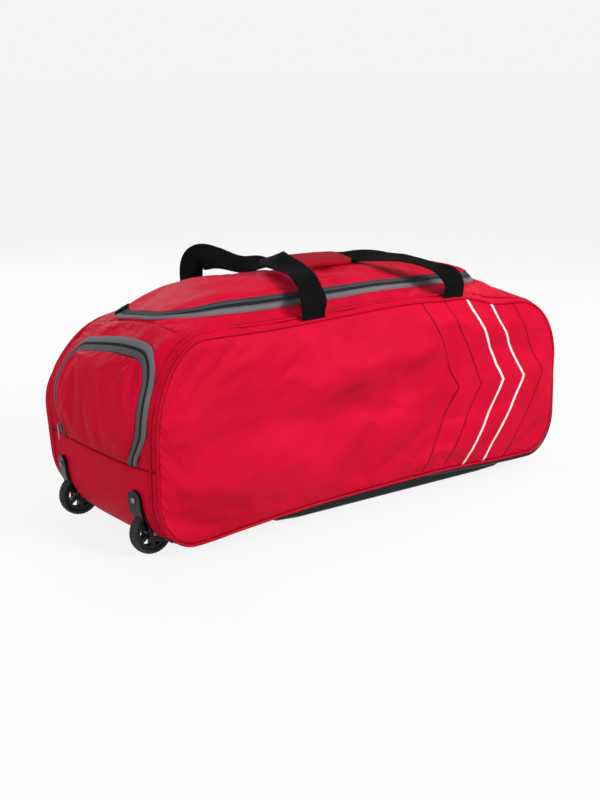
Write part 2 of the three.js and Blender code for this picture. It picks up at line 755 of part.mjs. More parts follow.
function bandStrip(fromPlace, toPlace, e0, e1, thick, off = 0) {
  const places = [fromPlace];
  for (let i = Math.floor(fromPlace) + 1; i < toPlace; i += 1) {
    places.push(i);
  }
  places.push(toPlace);
  const grid = places.map((place) => [e0, e1].map((e) => {
    const at = bandAt(place, e, off);
    return { p: at.p, n: at.n };
  }));
  return wallGeometry(grid, thick);
}

const ZIP_FROM = BACK_END + BEND_STEPS / 2 - RING_STEPS;
const ZIP_TO = BACK_START - BEND_STEPS / 2;
const PLACE_GAP = 0.02;
const LOWER_TOP = 0.47;
const UPPER_START = 0.7;
const EDGE_SHARE = GAP / ZIP_BAND;

// The lid
function edgeHeight(x) {
  const k = topRail(clamp(x, -HALF_LENGTH, HALF_LENGTH));
  return gusset(k, LID_WIDTH / 2).z + tableAt(TOP_FORM, x / HALF_LENGTH, 'riser') * LID_RISER;
}

function lidHeight(x, y) {
  const share = clamp((2 * y) / LID_WIDTH, -1, 1);
  return edgeHeight(x) + tableAt(TOP_FORM, x / HALF_LENGTH, 'dome') * LID_DOME * (1 - share * share);
}

function lidPanel() {
  const spineHalf = (LID_LENGTH - 0.86 * LID_WIDTH) / 2;
  const straightHalf = LID_LENGTH / 2 - LID_CORNER;
  const shares = [0, 0.14, 0.5, 1];
  const grid = opening.map((station, i) => {
    const edge = bandAt(i, 1);
    const inward = TAPE / 2 + GAP;
    const start = edge.p.clone().addScaledVector(point(edge.m.x, edge.m.y, 0), -inward);
    start.z += CLOTH / 2;
    const along = (clamp(station.x - LID_SHIFT, -straightHalf, straightHalf) * spineHalf) / straightHalf;
    return shares.map((r) => {
      const x = mix(start.x, along + LID_SHIFT, r);
      const y = mix(start.y, 0, r);
      const z = mix(start.z, lidHeight(x, y) + CLOTH / 2, ease(r / 0.3));
      return point(x, y, z);
    });
  });
  const lifted = grid.map((row) => row.map((p) => ({ p, n: point(0, 0, 1) })));
  return wallGeometry(lifted, CLOTH, 'dome');
}

// Height of the outermost cloth over a place in plan.
function coverTop(x, y) {
  const halfX = LID_LENGTH / 2;
  const insideLid = Math.abs(y) < LID_WIDTH / 2 && Math.abs(x - LID_SHIFT) < halfX;
  if (insideLid) {
    return lidHeight(x, y) + CLOTH;
  }
  return gusset(topRail(x), clamp(y, -HALF_WIDTH, HALF_WIDTH)).z + CLOTH / 2;
}

// Handles
const wrapY = WRAP_Y_SHARE * HALF_WIDTH;
const wrapX = HANDLE_SHIFT + 0.5;

function wrapCentre(share) {
  const x = wrapX + share * WRAP_LENGTH;
  const rest = Math.max(lidHeight(x, wrapY), lidHeight(x, wrapY - WRAP_HALF_WIDTH));
  const lean = Math.abs(Math.sin(WRAP_ROLL)) * WRAP_HALF_WIDTH;
  return point(x, wrapY, rest + CLOTH + GAP + WRAP_HALF_HEIGHT + lean);
}

function strapSections(rows, stack) {
  const centres = [];
  const ways = [];
  for (const row of rows) {
    if ('wrap' in row) {
      centres.push(wrapCentre(row.wrap).add(point(0, -Math.sin(WRAP_ROLL) * stack, stack)));
      ways.push(point(0, -Math.cos(WRAP_ROLL), -Math.sin(WRAP_ROLL)));
    } else {
      const x = HANDLE_SHIFT + (row.x * HANDLE_SPAN) / 2;
      const y = row.y * HALF_WIDTH;
      centres.push(point(x, y, coverTop(x, y) + row.lift * HANDLE_LIFT));
      ways.push(point(row.wx, row.wy, row.wz));
    }
  }
  const path = new THREE.CatmullRomCurve3(centres, false, 'centripetal');
  const steps = 2 * (rows.length - 1);
  const sections = [];
  for (let i = 0; i <= steps; i += 1) {
    const t = i / steps;
    const p = path.getPoint(t);
    const along = path.getTangent(t);
    const w = ways[Math.floor(i / 2)].clone().lerp(ways[Math.ceil(i / 2)], 0.5);
    const sewn = i === 0 || i === steps;
    const gripped = 'wrap' in rows[Math.floor(i / 2)] && 'wrap' in rows[Math.ceil(i / 2)];
    if (sewn) {
      const slope = (coverTop(p.x + STRAP_WIDTH / 2, p.y) - coverTop(p.x - STRAP_WIDTH / 2, p.y)) / STRAP_WIDTH;
      w.set(Math.sign(w.x), 0, Math.sign(w.x) * slope);
    } else if (!gripped) {
      w.addScaledVector(along, -w.dot(along));
    }
    w.normalize();
    const n = along.clone().cross(w).normalize();
    const corner = (a, b) => p.clone()
      .addScaledVector(w, (a * STRAP_WIDTH) / 2)
      .addScaledVector(n, (b * STRAP_THICK) / 2);
    sections.push([corner(-1, -1), corner(1, -1), corner(1, 1), corner(-1, 1)]);
  }
  return sections;
}

function gripWrap() {
  const around = 12;
  const sections = [];
  const ring = (share, halfWide, halfHigh) => {
    const c = wrapCentre(share);
    const roll = WRAP_ROLL;
    const points = [];
    for (let j = 0; j < around; j += 1) {
      const a = (2 * Math.PI * j) / around;
      const flat = halfWide - halfHigh;
      const u = Math.sign(Math.cos(a)) * flat + halfHigh * Math.cos(a);
      const v = halfHigh * Math.sin(a);
      points.push(point(c.x, c.y + u * Math.cos(roll) - v * Math.sin(roll), c.z + u * Math.sin(roll) + v * Math.cos(roll)));
    }
    return points;
  };
  const shares = evenly(-0.5, 0.5, 4);
  for (const share of shares) {
    sections.push(ring(share, WRAP_HALF_WIDTH, WRAP_HALF_HEIGHT));
  }
  for (const share of [...shares].reverse()) {
    sections.push(ring(share, WRAP_HALF_WIDTH - WRAP_WALL, WRAP_HALF_HEIGHT - WRAP_WALL));
  }
  return loftGeometry(sections, true);
}

// End pocket on the wheel end: half width of its arch at a height.
function archHalf(z, inset) {
  const half = POCKET_WIDTH / 2 - inset;
  const radius = Math.max(POCKET_CORNER - inset, 6);
  const cornerStart = POCKET_TOP - inset - radius;
  const taper = 0.16 * half * ease(clamp((POCKET_BOTTOM + POCKET_TAPER - z) / POCKET_TAPER, 0, 1));
  if (z <= cornerStart) {
    return half - taper;
  }
  const up = clamp((z - cornerStart) / radius, 0, 1);
  return half - radius + radius * Math.sqrt(1 - up * up);
}

// Once round the arch of the end pocket at an inset from its outline: up, over and down again.
const ARCH_SIDE = 5;
const ARCH_BEND = 5;
const ARCH_TOP = 4;

function archPath(inset) {
  const radius = Math.max(POCKET_CORNER - inset, 6);
  const top = POCKET_TOP - inset;
  const half = [];
  for (let i = 0; i <= ARCH_SIDE; i += 1) {
    const z = mix(POCKET_BOTTOM, top - radius, i / ARCH_SIDE);
    half.push({ y: archHalf(z, inset), z });
  }
  for (let i = 1; i <= ARCH_BEND; i += 1) {
    const a = (i / ARCH_BEND) * (Math.PI / 2);
    const flat = POCKET_WIDTH / 2 - inset - radius;
    half.push({ y: flat + radius * Math.cos(a), z: top - radius + radius * Math.sin(a) });
  }
  const crest = half[half.length - 1];
  const middle = evenly(crest.y, -crest.y, ARCH_TOP).slice(1, -1).map((y) => ({ y, z: crest.z }));
  const down = [...half].reverse().map((s) => ({ y: -s.y, z: s.z }));
  return [...half, ...middle, ...down].map((s) => ({ y: s.y + POCKET_SHIFT, z: s.z }));
}

function endCell(y, z, off) {
  return gussetCell(wheelEndRail(z), y, off);
}

const POCKET_SEAT = CLOTH + SEAT_GAP;
const POCKET_RISE = 4;

function archStrip(insetA, insetB, offA, offB, thick) {
  const a = archPath(insetA);
  const b = archPath(insetB);
  const grid = a.map((s, i) => {
    return [0, 1].map((t) => endCell(mix(s.y, b[i].y, t), mix(s.z, b[i].z, t), mix(offA, offB, t)));
  });
  return wallGeometry(grid, thick);
}

function pocketFlap() {
  const edge = archPath(POCKET_BAND + 2 * GAP).slice(0, ARCH_SIDE + ARCH_BEND + 1);
  const low = edge[0].z;
  const high = edge[edge.length - 1].z;
  const grid = edge.map((s) => evenly(-1, 1, 7).map((v) => {
    const up = (s.z - low) / (high - low);
    const swell = Math.sin(Math.PI * clamp(up, 0, 1)) ** 0.6 * (1 - v * v) ** 0.5;
    let crease = 0;
    for (const row of POCKET_FOLDS) {
      const a = (up - row.z) / row.along;
      const b = (v - row.y) / row.across;
      crease += row.depth * FOLD_DEPTH * Math.exp(-a * a - b * b);
    }
    const seat = POCKET_SEAT + POCKET_RISE * ease(up / 0.15);
    const y = POCKET_SHIFT + (s.y - POCKET_SHIFT) * v;
    return endCell(y, s.z, seat + POCKET_PUFF * swell - Math.min(crease, POCKET_RISE) * ease(up / 0.1));
  }));
  return wallGeometry(grid, CLOTH);
}

// Wheels, axles and housings
const WHEEL_SIDES = 24;
const HUB_WIDTH = 12;
const HUB_BOSS = 8;
const WINDOWS = 6;
const WINDOW_INNER = 10.5;
const WINDOW_OUTER = 22;

function lathed(profile, sides) {
  const points = profile.map(([r, y]) => new THREE.Vector2(r, y));
  return tidy(new THREE.LatheGeometry(points, sides));
}

function tyre() {
  const half = WHEEL_WIDTH / 2;
  const inner = HUB_RADIUS + GAP;
  const shoulder = WHEEL_RADIUS - 2.5;
  const profile = [
    [inner, -half], [shoulder, -half], [WHEEL_RADIUS, 0], [shoulder, half], [inner, half], [inner, -half],
  ];
  return lathed(profile, WHEEL_SIDES);
}

function yCylinder(radius, length, sides) {
  return tidy(new THREE.CylinderGeometry(radius, radius, length, sides));
}

function hub() {
  const bossLength = WHEEL_WIDTH + 2 * WHEEL_SIDE_GAP - 2 * BORE_CLEARANCE;
  let solid = toSolid(yCylinder(HUB_RADIUS, HUB_WIDTH, WHEEL_SIDES));
  const turn = (2 * Math.PI) / WINDOWS;
  for (let i = 0; i < WINDOWS; i += 1) {
    const a = i * turn;
    const wide = 0.33 * turn;
    const corner = (r, s) => [r * Math.cos(a + s * wide), r * Math.sin(a + s * wide)];
    const mid = [WINDOW_OUTER * 1.04 * Math.cos(a), WINDOW_OUTER * 1.04 * Math.sin(a)];
    const outline = [corner(WINDOW_INNER, -0.7), corner(WINDOW_OUTER, -1), mid, corner(WINDOW_OUTER, 1), corner(WINDOW_INNER, 0.7)];
    solid = solid.subtract(toSolid(plateXZ(outline, 0, 2 * HUB_WIDTH)));
  }
  solid = solid.add(toSolid(yCylinder(HUB_BOSS, bossLength, 16)));
  const bore = AXLE_RADIUS + BORE_CLEARANCE;
  solid = solid.subtract(toSolid(yCylinder(bore, 2 * bossLength, 16)));
  return fromSolid(solid);
}

function axle() {
  return yCylinder(AXLE_RADIUS, HOUSING_WIDTH, 16);
}

// An arch over the wheel, open below its middle: the space of a wheel well or the room in a housing.
function archSolid(middleY, radius, width) {
  const outline = arcPoints(WHEEL_X, WHEEL_RADIUS, radius, 0, 180, 16);
  outline.push([WHEEL_X - radius, -WHEEL_RADIUS], [WHEEL_X + radius, -WHEEL_RADIUS]);
  return toSolid(plateXZ(outline, middleY, width));
}

function housingTab(y) {
  const half = HOUSING_WIDTH / 2;
  const inner = CLOTH / 2 + SEAT_GAP;
  const from = WHEEL_RADIUS + FENDER_RADIUS * 0.84;
  const round = TAB_TOP - half;
  const stations = [];
  for (const t of evenly(0, 1, 3)) {
    stations.push({ z: mix(from, round, t), w: half });
  }
  for (const a of [20, 40, 58, 72, 82]) {
    const turn = THREE.MathUtils.degToRad(a);
    stations.push({ z: round + half * Math.sin(turn), w: half * Math.cos(turn) });
  }
  const sections = stations.map(({ z, w }) => [
    endCell(y - w, z, inner).p, endCell(y + w, z, inner).p,
    endCell(y + w, z, inner + TAB_THICK).p, endCell(y - w, z, inner + TAB_THICK).p,
  ]);
  return toSolid(loftGeometry(sections));
}

function housing(y) {
  const r = FENDER_RADIUS;
  const outline = arcPoints(WHEEL_X, WHEEL_RADIUS, r, HOUSING_FROM, HOUSING_TO, 12);
  for (const [x, z] of [[-0.27, 0.2], [-0.23, -0.2], [-0.05, -0.31], [0.75, -0.46]]) {
    outline.push([WHEEL_X + x * r, WHEEL_RADIUS + z * r]);
  }
  let solid = toSolid(plateXZ(outline, y, HOUSING_WIDTH));
  solid = solid.subtract(archSolid(y, r - HOUSING_WALL, HOUSING_WIDTH - 2 * HOUSING_WALL));
  solid = solid.add(housingTab(y));
  const bore = yCylinder(AXLE_RADIUS + BORE_CLEARANCE, 2 * HOUSING_WIDTH, 16);
  bore.translate(WHEEL_X, y, WHEEL_RADIUS);
  return fromSolid(solid.subtract(toSolid(bore)));
}

function rivet(y) {
  const r = RIVET_RADIUS;
  const geometry = lathed([[0, 0], [r, 0], [r, 0.8], [0.6 * r, 2], [0, 2.4]], 12);
  const seat = CLOTH / 2 + SEAT_GAP + GAP + TAB_THICK;
  const at = endCell(y, TAB_TOP - HOUSING_WIDTH / 2, seat);
  geometry.applyQuaternion(new THREE.Quaternion().setFromUnitVectors(point(0, 1, 0), at.n));
  geometry.translate(at.p.x, at.p.y, at.p.z);
  return geometry;
}

// Base, skid rails and the far-end guard
function baseRail(x) {
  const left = baseSeam[CORNER_STEPS].x;
  const right = baseSeam[CORNER_STEPS + RUN_STEPS].x;
  const place = CORNER_STEPS + (RUN_STEPS * (x - left)) / (right - left);
  return rail.length - place;
}

const RAIL_BASE_FAR = RAIL_FAR_BASE + 3;
const RAIL_BASE_WHEEL = rail.length - 3.4;
const skidInner = SKID_Y - SKID_WIDTH / 2;
const skidOuter = SKID_Y + SKID_WIDTH / 2;
const baseWidths = [
  -PANEL_EDGE, -skidOuter, -skidInner, 0, skidInner, skidOuter, PANEL_EDGE,
];

function withWells(geometry) {
  let solid = toSolid(geometry);
  for (const side of [-1, 1]) {
    solid = solid.subtract(archSolid(side * WHEEL_Y, FENDER_RADIUS + GAP, HOUSING_WIDTH + 2 * GAP));
  }
  return fromSolid(solid);
}

function skidRail(side) {
  const from = baseRail(SKID_END);
  const to = baseRail(SKID_START);
  const places = [from, mix(from, Math.ceil(from), 0.5)];
  for (let k = Math.ceil(from); k <= to; k += 1) {
    places.push(k);
  }
  places.push(mix(Math.floor(to), to, 0.5), to);
  const under = CLOTH / 2 + GAP;
  const bevel = 3;
  const sections = places.map((k) => {
    const x = railAt(k).x;
    const top = (y) => gusset(k, side * y).z - under;
    const toEnd = Math.min(SKID_END - x, x - SKID_START);
    const t = clamp(toEnd / SKID_TAPER, 0, 1);
    const low = (top(skidOuter) - 4) * (1 - Math.sqrt(1 - (1 - t) ** 2));
    return [
      point(x, side * skidInner, top(skidInner)), point(x, side * skidOuter, top(skidOuter)),
      point(x, side * skidOuter, low + bevel), point(x, side * (skidOuter - bevel), low),
      point(x, side * (skidInner + bevel), low), point(x, side * skidInner, low + bevel),
    ];
  });
  return loftGeometry(sections);
}

function farGuard() {
  const off = CLOTH / 2 + SEAT_GAP + GUARD_THICK / 2;
  const edge = PANEL_EDGE - GUARD_THICK;
  const widths = [-edge, ...endWidths.slice(1, -1), edge];
  return gussetPanel(farEndRail(GUARD_TOP), baseRail(SKID_END + SKID_GUARD_GAP), widths, GUARD_THICK, off, 0);
}

// A flat webbing grab handle across the far end, sewn down at both ends.
function pullHandle() {
  const seat = CLOTH / 2 + SEAT_GAP + STRAP_THICK / 2;
  const flat = 0.5 * PULL_SPAN;
  const end = flat + PULL_WIDTH * 0.75;
  const low = farEndRail(PULL_HEIGHT - PULL_WIDTH / 2);
  const high = farEndRail(PULL_HEIGHT + PULL_WIDTH / 2);
  const widths = [-end, -flat, -0.85 * flat, -0.6 * flat, 0, 0.6 * flat, 0.85 * flat, flat, end];
  const sections = widths.map((y) => {
    const stand = PULL_STAND * ease(clamp((flat - Math.abs(y)) / (0.45 * flat), 0, 1));
    const at = (k, half) => gussetCell(k, y, seat + stand + half).p;
    const half = STRAP_THICK / 2;
    return [at(low, -half), at(high, -half), at(high, half), at(low, half)];
  });
  return loftGeometry(sections);
}

// Zip sliders and their pullers
function sliderPair(name, place, up, sizes) {
  const across = up.clone().cross(place.n).normalize();
  const [wide, tall, deep] = sizes;
  const body = place.p.clone().addScaledVector(place.n, deep / 2);
  addPiece(`${name}_slider`, orientedBox(body, across, up, place.n, [wide, tall, deep]), 'metal');
  const pull = body.clone().addScaledVector(place.n, deep / 2 + GAP + PULLER_THICK / 2);
  pull.addScaledVector(up, -(PULLER_LENGTH / 2 - tall / 2));
  addPiece(`${name}_puller`, orientedBox(pull, across, up, place.n, [PULLER_WIDTH, PULLER_LENGTH, PULLER_THICK]), 'metal');
}

// Assembly
const sides = [{ name: 'front', side: -1 }, { name: 'back', side: 1 }];
for (const { name, side } of sides) {
  addPiece(`${name}_side_panel`, sidePanel(side), 'red');
  addPiece(`${name}_piping`, piping(side), 'redDark');
}
const endSeamRail = wheelEndRail(END_SEAM);
addPiece('wheel_end_panel', gussetPanel(endSeamRail, RAIL_END_SEAM, endWidths), 'red');
addPiece('wheel_end_lower_panel', withWells(gussetPanel(-3.4, endSeamRail, endWidths)), 'redDark');
addPiece('far_end_panel', gussetPanel(RAIL_FAR_SEAM, RAIL_BASE_FAR, endWidths), 'red');
addPiece('base_panel', withWells(gussetPanel(RAIL_BASE_FAR, RAIL_BASE_WHEEL, baseWidths)), 'dark');
addPiece('top_shoulder', topShoulder(), 'red');

addPiece('lid_panel', lidPanel(), 'red');
addPiece('lid_zip_lower_tape', bandStrip(ZIP_FROM, ZIP_TO, EDGE_SHARE, LOWER_TOP, TAPE), 'grey');
addPiece('lid_zip_coil', bandStrip(ZIP_FROM, ZIP_TO, LOWER_TOP + EDGE_SHARE, UPPER_START - EDGE_SHARE, COIL), 'dark');
addPiece('lid_zip_upper_tape', bandStrip(ZIP_FROM, ZIP_TO, UPPER_START, 1, TAPE), 'grey');
addPiece('lid_hinge_strip', bandStrip(ZIP_TO + PLACE_GAP, ZIP_FROM + RING_STEPS - PLACE_GAP, EDGE_SHARE, 1, TAPE), 'red');
const tabOff = COIL / 2 + GAP + TAPE / 2;
addPiece('lid_zip_tab_left', bandStrip(ZIP_FROM - 0.2, ZIP_FROM + 0.7, 0.04, 0.96, TAPE, tabOff), 'webbing');
addPiece('lid_zip_tab_right', bandStrip(ZIP_TO - 0.7, ZIP_TO + 0.2, 0.04, 0.96, TAPE, tabOff), 'webbing');

const coilMiddle = (LOWER_TOP + UPPER_START) / 2;
const SLIDER_PLACE = RIGHT_END - 0.6;
const lidSlider = bandAt(SLIDER_PLACE, coilMiddle, COIL / 2 + GAP);
const bandUp = bandAt(SLIDER_PLACE, 1).p.sub(bandAt(SLIDER_PLACE, 0).p).normalize();
sliderPair('lid_zip', lidSlider, bandUp, [14, 9, 4]);

const tapeWide = (POCKET_BAND - COIL) / 2 - GAP;
const coilFrom = tapeWide + GAP;
const coilTo = coilFrom + COIL;
const pocketSeat = CLOTH / 2 + SEAT_GAP + TAPE / 2;
addPiece('pocket_zip_outer_tape', archStrip(0, tapeWide, pocketSeat, pocketSeat + 2, TAPE), 'grey');
addPiece('pocket_zip_coil', archStrip(coilFrom, coilTo, pocketSeat + 2.4, pocketSeat + 2.8, COIL * 0.8), 'dark');
addPiece('pocket_zip_inner_tape', archStrip(coilTo + GAP, POCKET_BAND, pocketSeat + 2.8, pocketSeat + 3.4, TAPE), 'grey');
addPiece('pocket_flap', pocketFlap(), 'red');

const sliderZ = POCKET_BOTTOM + POCKET_SLIDER_RISE;
const sliderY = POCKET_SHIFT + archHalf(sliderZ, coilFrom + COIL / 2);
const pocketSlider = endCell(sliderY, sliderZ, pocketSeat + 3.4 + COIL * 0.4 + GAP);
const endUp = endCell(sliderY, sliderZ + 5, 0).p.sub(endCell(sliderY, sliderZ - 5, 0).p).normalize();
sliderPair('pocket', pocketSlider, endUp, [9, 13, 4]);

addPiece('front_handle_strap', loftGeometry(strapSections(FRONT_STRAP, STRAP_SPREAD)), 'webbing');
addPiece('back_handle_strap', loftGeometry(strapSections(BACK_STRAP, -STRAP_SPREAD)), 'webbing');
addPiece('handle_grip_wrap', gripWrap(), 'redDark');
addPiece('end_pull_handle', pullHandle(), 'webbing');

for (const { name, side } of sides) {
  const y = side * WHEEL_Y;
  const placed = (geometry) => geometry.translate(WHEEL_X, y, WHEEL_RADIUS);
  addPiece(`${name}_wheel_tyre`, placed(tyre()), 'rubber');
  addPiece(`${name}_wheel_hub`, placed(hub()), 'plastic');
  addPiece(`${name}_wheel_axle`, placed(axle()), 'metal');
  addPiece(`${name}_wheel_housing`, housing(y), 'plastic');
  addPiece(`${name}_housing_rivet`, rivet(y), 'metal');
  addPiece(`${name}_skid_rail`, skidRail(side), 'plastic');
}
addPiece('far_end_guard', farGuard(), 'plastic');

// The origin is on the floor, below the middle of the whole bag.
const whole = new THREE.Box3().setFromObject(bag);
bag.position.x = -(whole.min.x + whole.max.x) / 2;
bag.position.y = -(whole.min.y + whole.max.y) / 2;

export default bag;
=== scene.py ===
# Looks of a wheeled kit bag: padded red cloth, zips, webbing handles and the running gear.
# Lengths here are in millimetres of the part's own frame and become metres in each mesh.
import math

import bmesh
import bpy
import numpy as np
from mathutils import Matrix, Vector

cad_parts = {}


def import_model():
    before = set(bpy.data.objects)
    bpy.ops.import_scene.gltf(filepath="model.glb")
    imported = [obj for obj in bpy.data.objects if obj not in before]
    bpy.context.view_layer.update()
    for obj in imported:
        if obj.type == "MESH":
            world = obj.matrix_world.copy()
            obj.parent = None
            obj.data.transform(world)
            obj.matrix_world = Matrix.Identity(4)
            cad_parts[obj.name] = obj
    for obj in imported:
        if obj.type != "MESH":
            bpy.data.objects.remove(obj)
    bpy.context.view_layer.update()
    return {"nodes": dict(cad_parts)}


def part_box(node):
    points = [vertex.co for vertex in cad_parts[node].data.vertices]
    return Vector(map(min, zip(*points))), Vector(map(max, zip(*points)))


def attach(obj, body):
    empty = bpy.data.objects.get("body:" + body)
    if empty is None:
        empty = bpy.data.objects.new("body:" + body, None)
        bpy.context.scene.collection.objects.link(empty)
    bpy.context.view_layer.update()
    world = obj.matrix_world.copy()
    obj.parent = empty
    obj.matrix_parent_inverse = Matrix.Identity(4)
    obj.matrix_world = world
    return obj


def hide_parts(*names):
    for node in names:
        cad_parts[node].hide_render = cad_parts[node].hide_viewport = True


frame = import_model()
nodes = frame["nodes"]

HALF_LENGTH, HALF_WIDTH = 430.0, 163.0
SEAM_TOP, BASE_LIFT = 346.0, 36.0
CLOTH, GAP, SEAT_GAP = 2.0, 0.3, 0.9
PIPING = 2.6
SIDE_BULGE, END_CROWN, TOP_CROWN, BASE_CROWN = 12.0, 15.0, 24.0, 8.0
FOLD_DEPTH, SLUMP, SPREAD = 7.0, 26.0, 18.0
BELLY_END, BELLY_SIDE = 8, 5
LID_LENGTH, LID_WIDTH, LID_CORNER, LID_SHIFT = 666.0, 226.0, 44.0, -40.0
LID_ROUND = 80.0
LID_RISER, LID_DOME, ZIP_BAND, TAPE, COIL = 25.0, 18.0, 24.0, 1.6, 3.2
POCKET_BOTTOM, POCKET_TOP, POCKET_WIDTH, POCKET_SHIFT = 146.0, 315.0, 272.0, -7.0
POCKET_CORNER, POCKET_PUFF, POCKET_BAND, POCKET_TAPER, POCKET_NARROW = 54.0, 8.0, 20.0, 55.0, 0.16
END_SEAM, POCKET_RISE = 143.0, 4.0
STRAP_WIDTH, STRAP_THICK, STRAP_SPREAD = 46.0, 2.0, 2.5
HANDLE_SPAN, HANDLE_SHIFT, HANDLE_LIFT = 304.0, 16.0, 30.0
WRAP_LENGTH, WRAP_HALF_WIDTH, WRAP_HALF_HEIGHT = 127.0, 29.0, 7.4
WRAP_ROLL, WRAP_Y = 0.12, 0.2 * 163.0
PULL_WIDTH, PULL_SPAN, PULL_STAND, PULL_HEIGHT = 38.0, 150.0, 14.0, 172.0
WHEEL_X, WHEEL_Y, WHEEL_Z = -416.5, 115.0, 36
WELL_RADIUS, WELL_HALF = 42.3, 14.3
SEAM_INSET = PIPING + GAP
EDGE = HALF_WIDTH - SEAM_INSET
# Places round the side seam: wheel end 0 to 1, top 7 to 23, far end 29 to 30, base 36 to 52, bends between
AROUND = 58.0

tyre_low, tyre_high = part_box("front_wheel_tyre")
SHIFT = np.array([
    (tyre_low.x + tyre_high.x) * 500 - WHEEL_X,
    (tyre_low.y + tyre_high.y) * 500 + WHEEL_Y,
    0.0,
])

QUARTER = math.pi / 2
SIDES = (("front", -1), ("back", 1))
# radius along, radius up, level, side along, side up
CORNERS = {
    "wheel_top": (0.207, 0.457, 0.977, -1, 1),
    "wheel_base": (0.149, 0.243, 0.046, -1, -1),
    "far_base": (0.136, 0.217, 0.087, 1, -1),
    "far_top": (0.241, 0.332, 0.925, 1, 1),
}
TOP_RUN = np.array([
    (0.0, 0.977), (0.2, 0.976), (0.43, 0.991), (0.58, 1.0), (0.73, 0.991),
    (0.81, 0.983), (0.86, 0.962), (0.91, 0.936), (1.0, 0.925),
])
BASE_RUN = np.array([
    (0.0, 0.44), (0.13, 0.64), (0.26, 0.83), (0.4, 0.94), (0.7, 1.0), (0.9, 0.85), (1.0, 0.83),
])
# at, crown, riser, dome
TOP_FORM = np.array([
    (-0.85, 0.8, 0.34, 0.0), (-0.78, 1.1, 0.4, 0.02), (-0.69, 1.3, 0.55, 0.08), (-0.57, 1.2, 0.8, 0.3),
    (-0.31, 1.05, 0.78, 0.7), (0.0, 0.97, 0.64, 0.6), (0.33, 1.05, 0.56, 0.38), (0.45, 1.2, 0.6, 0.32),
    (0.6, 1.7, 0.7, 0.25), (0.66, 1.65, 0.72, 0.2), (0.72, 1.3, 0.66, 0.2), (0.8, 0.6, 0.44, 0.2),
])
# x, z, along, across, turn, depth
SIDE_FOLDS = [
    (-0.7, 0.93, 0.1, 0.03, 52, 1.0), (0.36, 0.5, 0.22, 0.05, 83, 1.0), (0.2, 0.77, 0.4, 0.08, 4, -0.9),
    (0.64, 0.86, 0.12, 0.04, -35, 0.8), (-0.62, 0.22, 0.2, 0.07, 25, 0.6), (0.1, 0.2, 0.5, 0.07, 2, 0.4),
]
POCKET_FOLDS = [(-0.3, 0.15, 0.3, 0.07, 0.35), (0.12, 0.2, 0.35, 0.08, 0.45), (0.5, 0.3, 0.3, 0.1, 0.3)]
# x, y, lift, way across; or the place along the grip wrap
FRONT_STRAP = [
    (-1.0, -1.0, 0.065, 1, 0, 0), (-0.99, -0.985, 0.8, 1, 0, 0), (-0.91, -0.87, 0.95, 1, 0, 0.02),
    (-0.85, -0.66, 0.7, 1, 0, 0.06), (-0.78, -0.38, 0.72, 0.97, 0, 0.2), (-0.77, -0.07, 0.85, 0.85, 0, 0.45),
    (-0.63, 0.15, 0.85, 0.55, -0.78, 0.3), -0.55, -0.4, 0.0, 0.4, 0.55,
    (0.66, 0.15, 0.55, -0.6, -0.72, -0.3), (0.73, -0.12, 0.62, -0.95, -0.2, -0.22),
    (0.74, -0.43, 0.82, -0.98, 0, -0.12), (0.8, -0.72, 1.4, -0.98, 0, 0.06),
    (0.93, -0.94, 1.38, -1, 0, 0.04), (1.01, -1.0, 0.9, -1, 0, 0), (1.0, -1.0, 0.065, -1, 0, 0),
]
BACK_STRAP = [
    (-1.05, 1.0, 0.065, 1, 0, 0), (-1.12, 1.0, 0.9, 1, 0, -0.05), (-1.12, 0.93, 1.95, 0.7, 0, -0.7),
    (-0.95, 0.8, 1.73, 0.2, -0.84, -0.5), (-0.76, 0.55, 0.45, 0, -0.93, -0.3),
    (-0.6, 0.3, 0.42, 0, -0.99, -0.12), -0.55, -0.4, 0.0, 0.4, 0.55,
    (0.66, 0.31, 0.35, 0.55, -0.8, -0.05), (0.82, 0.55, 0.6, 0.95, -0.25, 0),
    (0.92, 0.8, 1.1, 1, 0, 0), (0.98, 0.97, 1.0, 1, 0, 0), (1.0, 1.0, 0.065, 1, 0, 0),
]


def stack(*parts):
    return np.stack(parts, -1)


def mix(a, b, t):
    return a + (b - a) * t


def ease(t):
    t = np.clip(t, 0, 1)
    return t * t * (3 - 2 * t)


def curve(rows, column, at):
    xs, ys = rows[:, 0], rows[:, column]
    x = np.clip(at, xs[0], xs[-1])
    i = np.clip(np.searchsorted(xs, x, side="right") - 1, 0, len(xs) - 2)
    slope = np.zeros(len(xs))
    slope[1:-1] = (ys[2:] - ys[:-2]) / (xs[2:] - xs[:-2])
    span = xs[i + 1] - xs[i]
    t = (x - xs[i]) / span
    h = t * t * (3 - 2 * t)
    return ys[i] + (ys[i + 1] - ys[i]) * h + span * t * (1 - t) * ((1 - t) * slope[i] - t * slope[i + 1])


def unit(v):
    return v / np.maximum(np.linalg.norm(v, axis=-1, keepdims=True), 1e-9)


def corner(name, angle):
    rx, rz, level, side_x, side_z = CORNERS[name]
    rx, rz = rx * HALF_LENGTH, rz * SEAM_TOP
    c, s = np.cos(angle), np.sin(angle)
    n = unit(stack(side_x * c / rx, side_z * s / rz))
    x = side_x * (HALF_LENGTH - rx) + side_x * rx * c
    z = level * SEAM_TOP - side_z * rz + side_z * rz * s
    return stack(x, z, n[..., 0], n[..., 1])


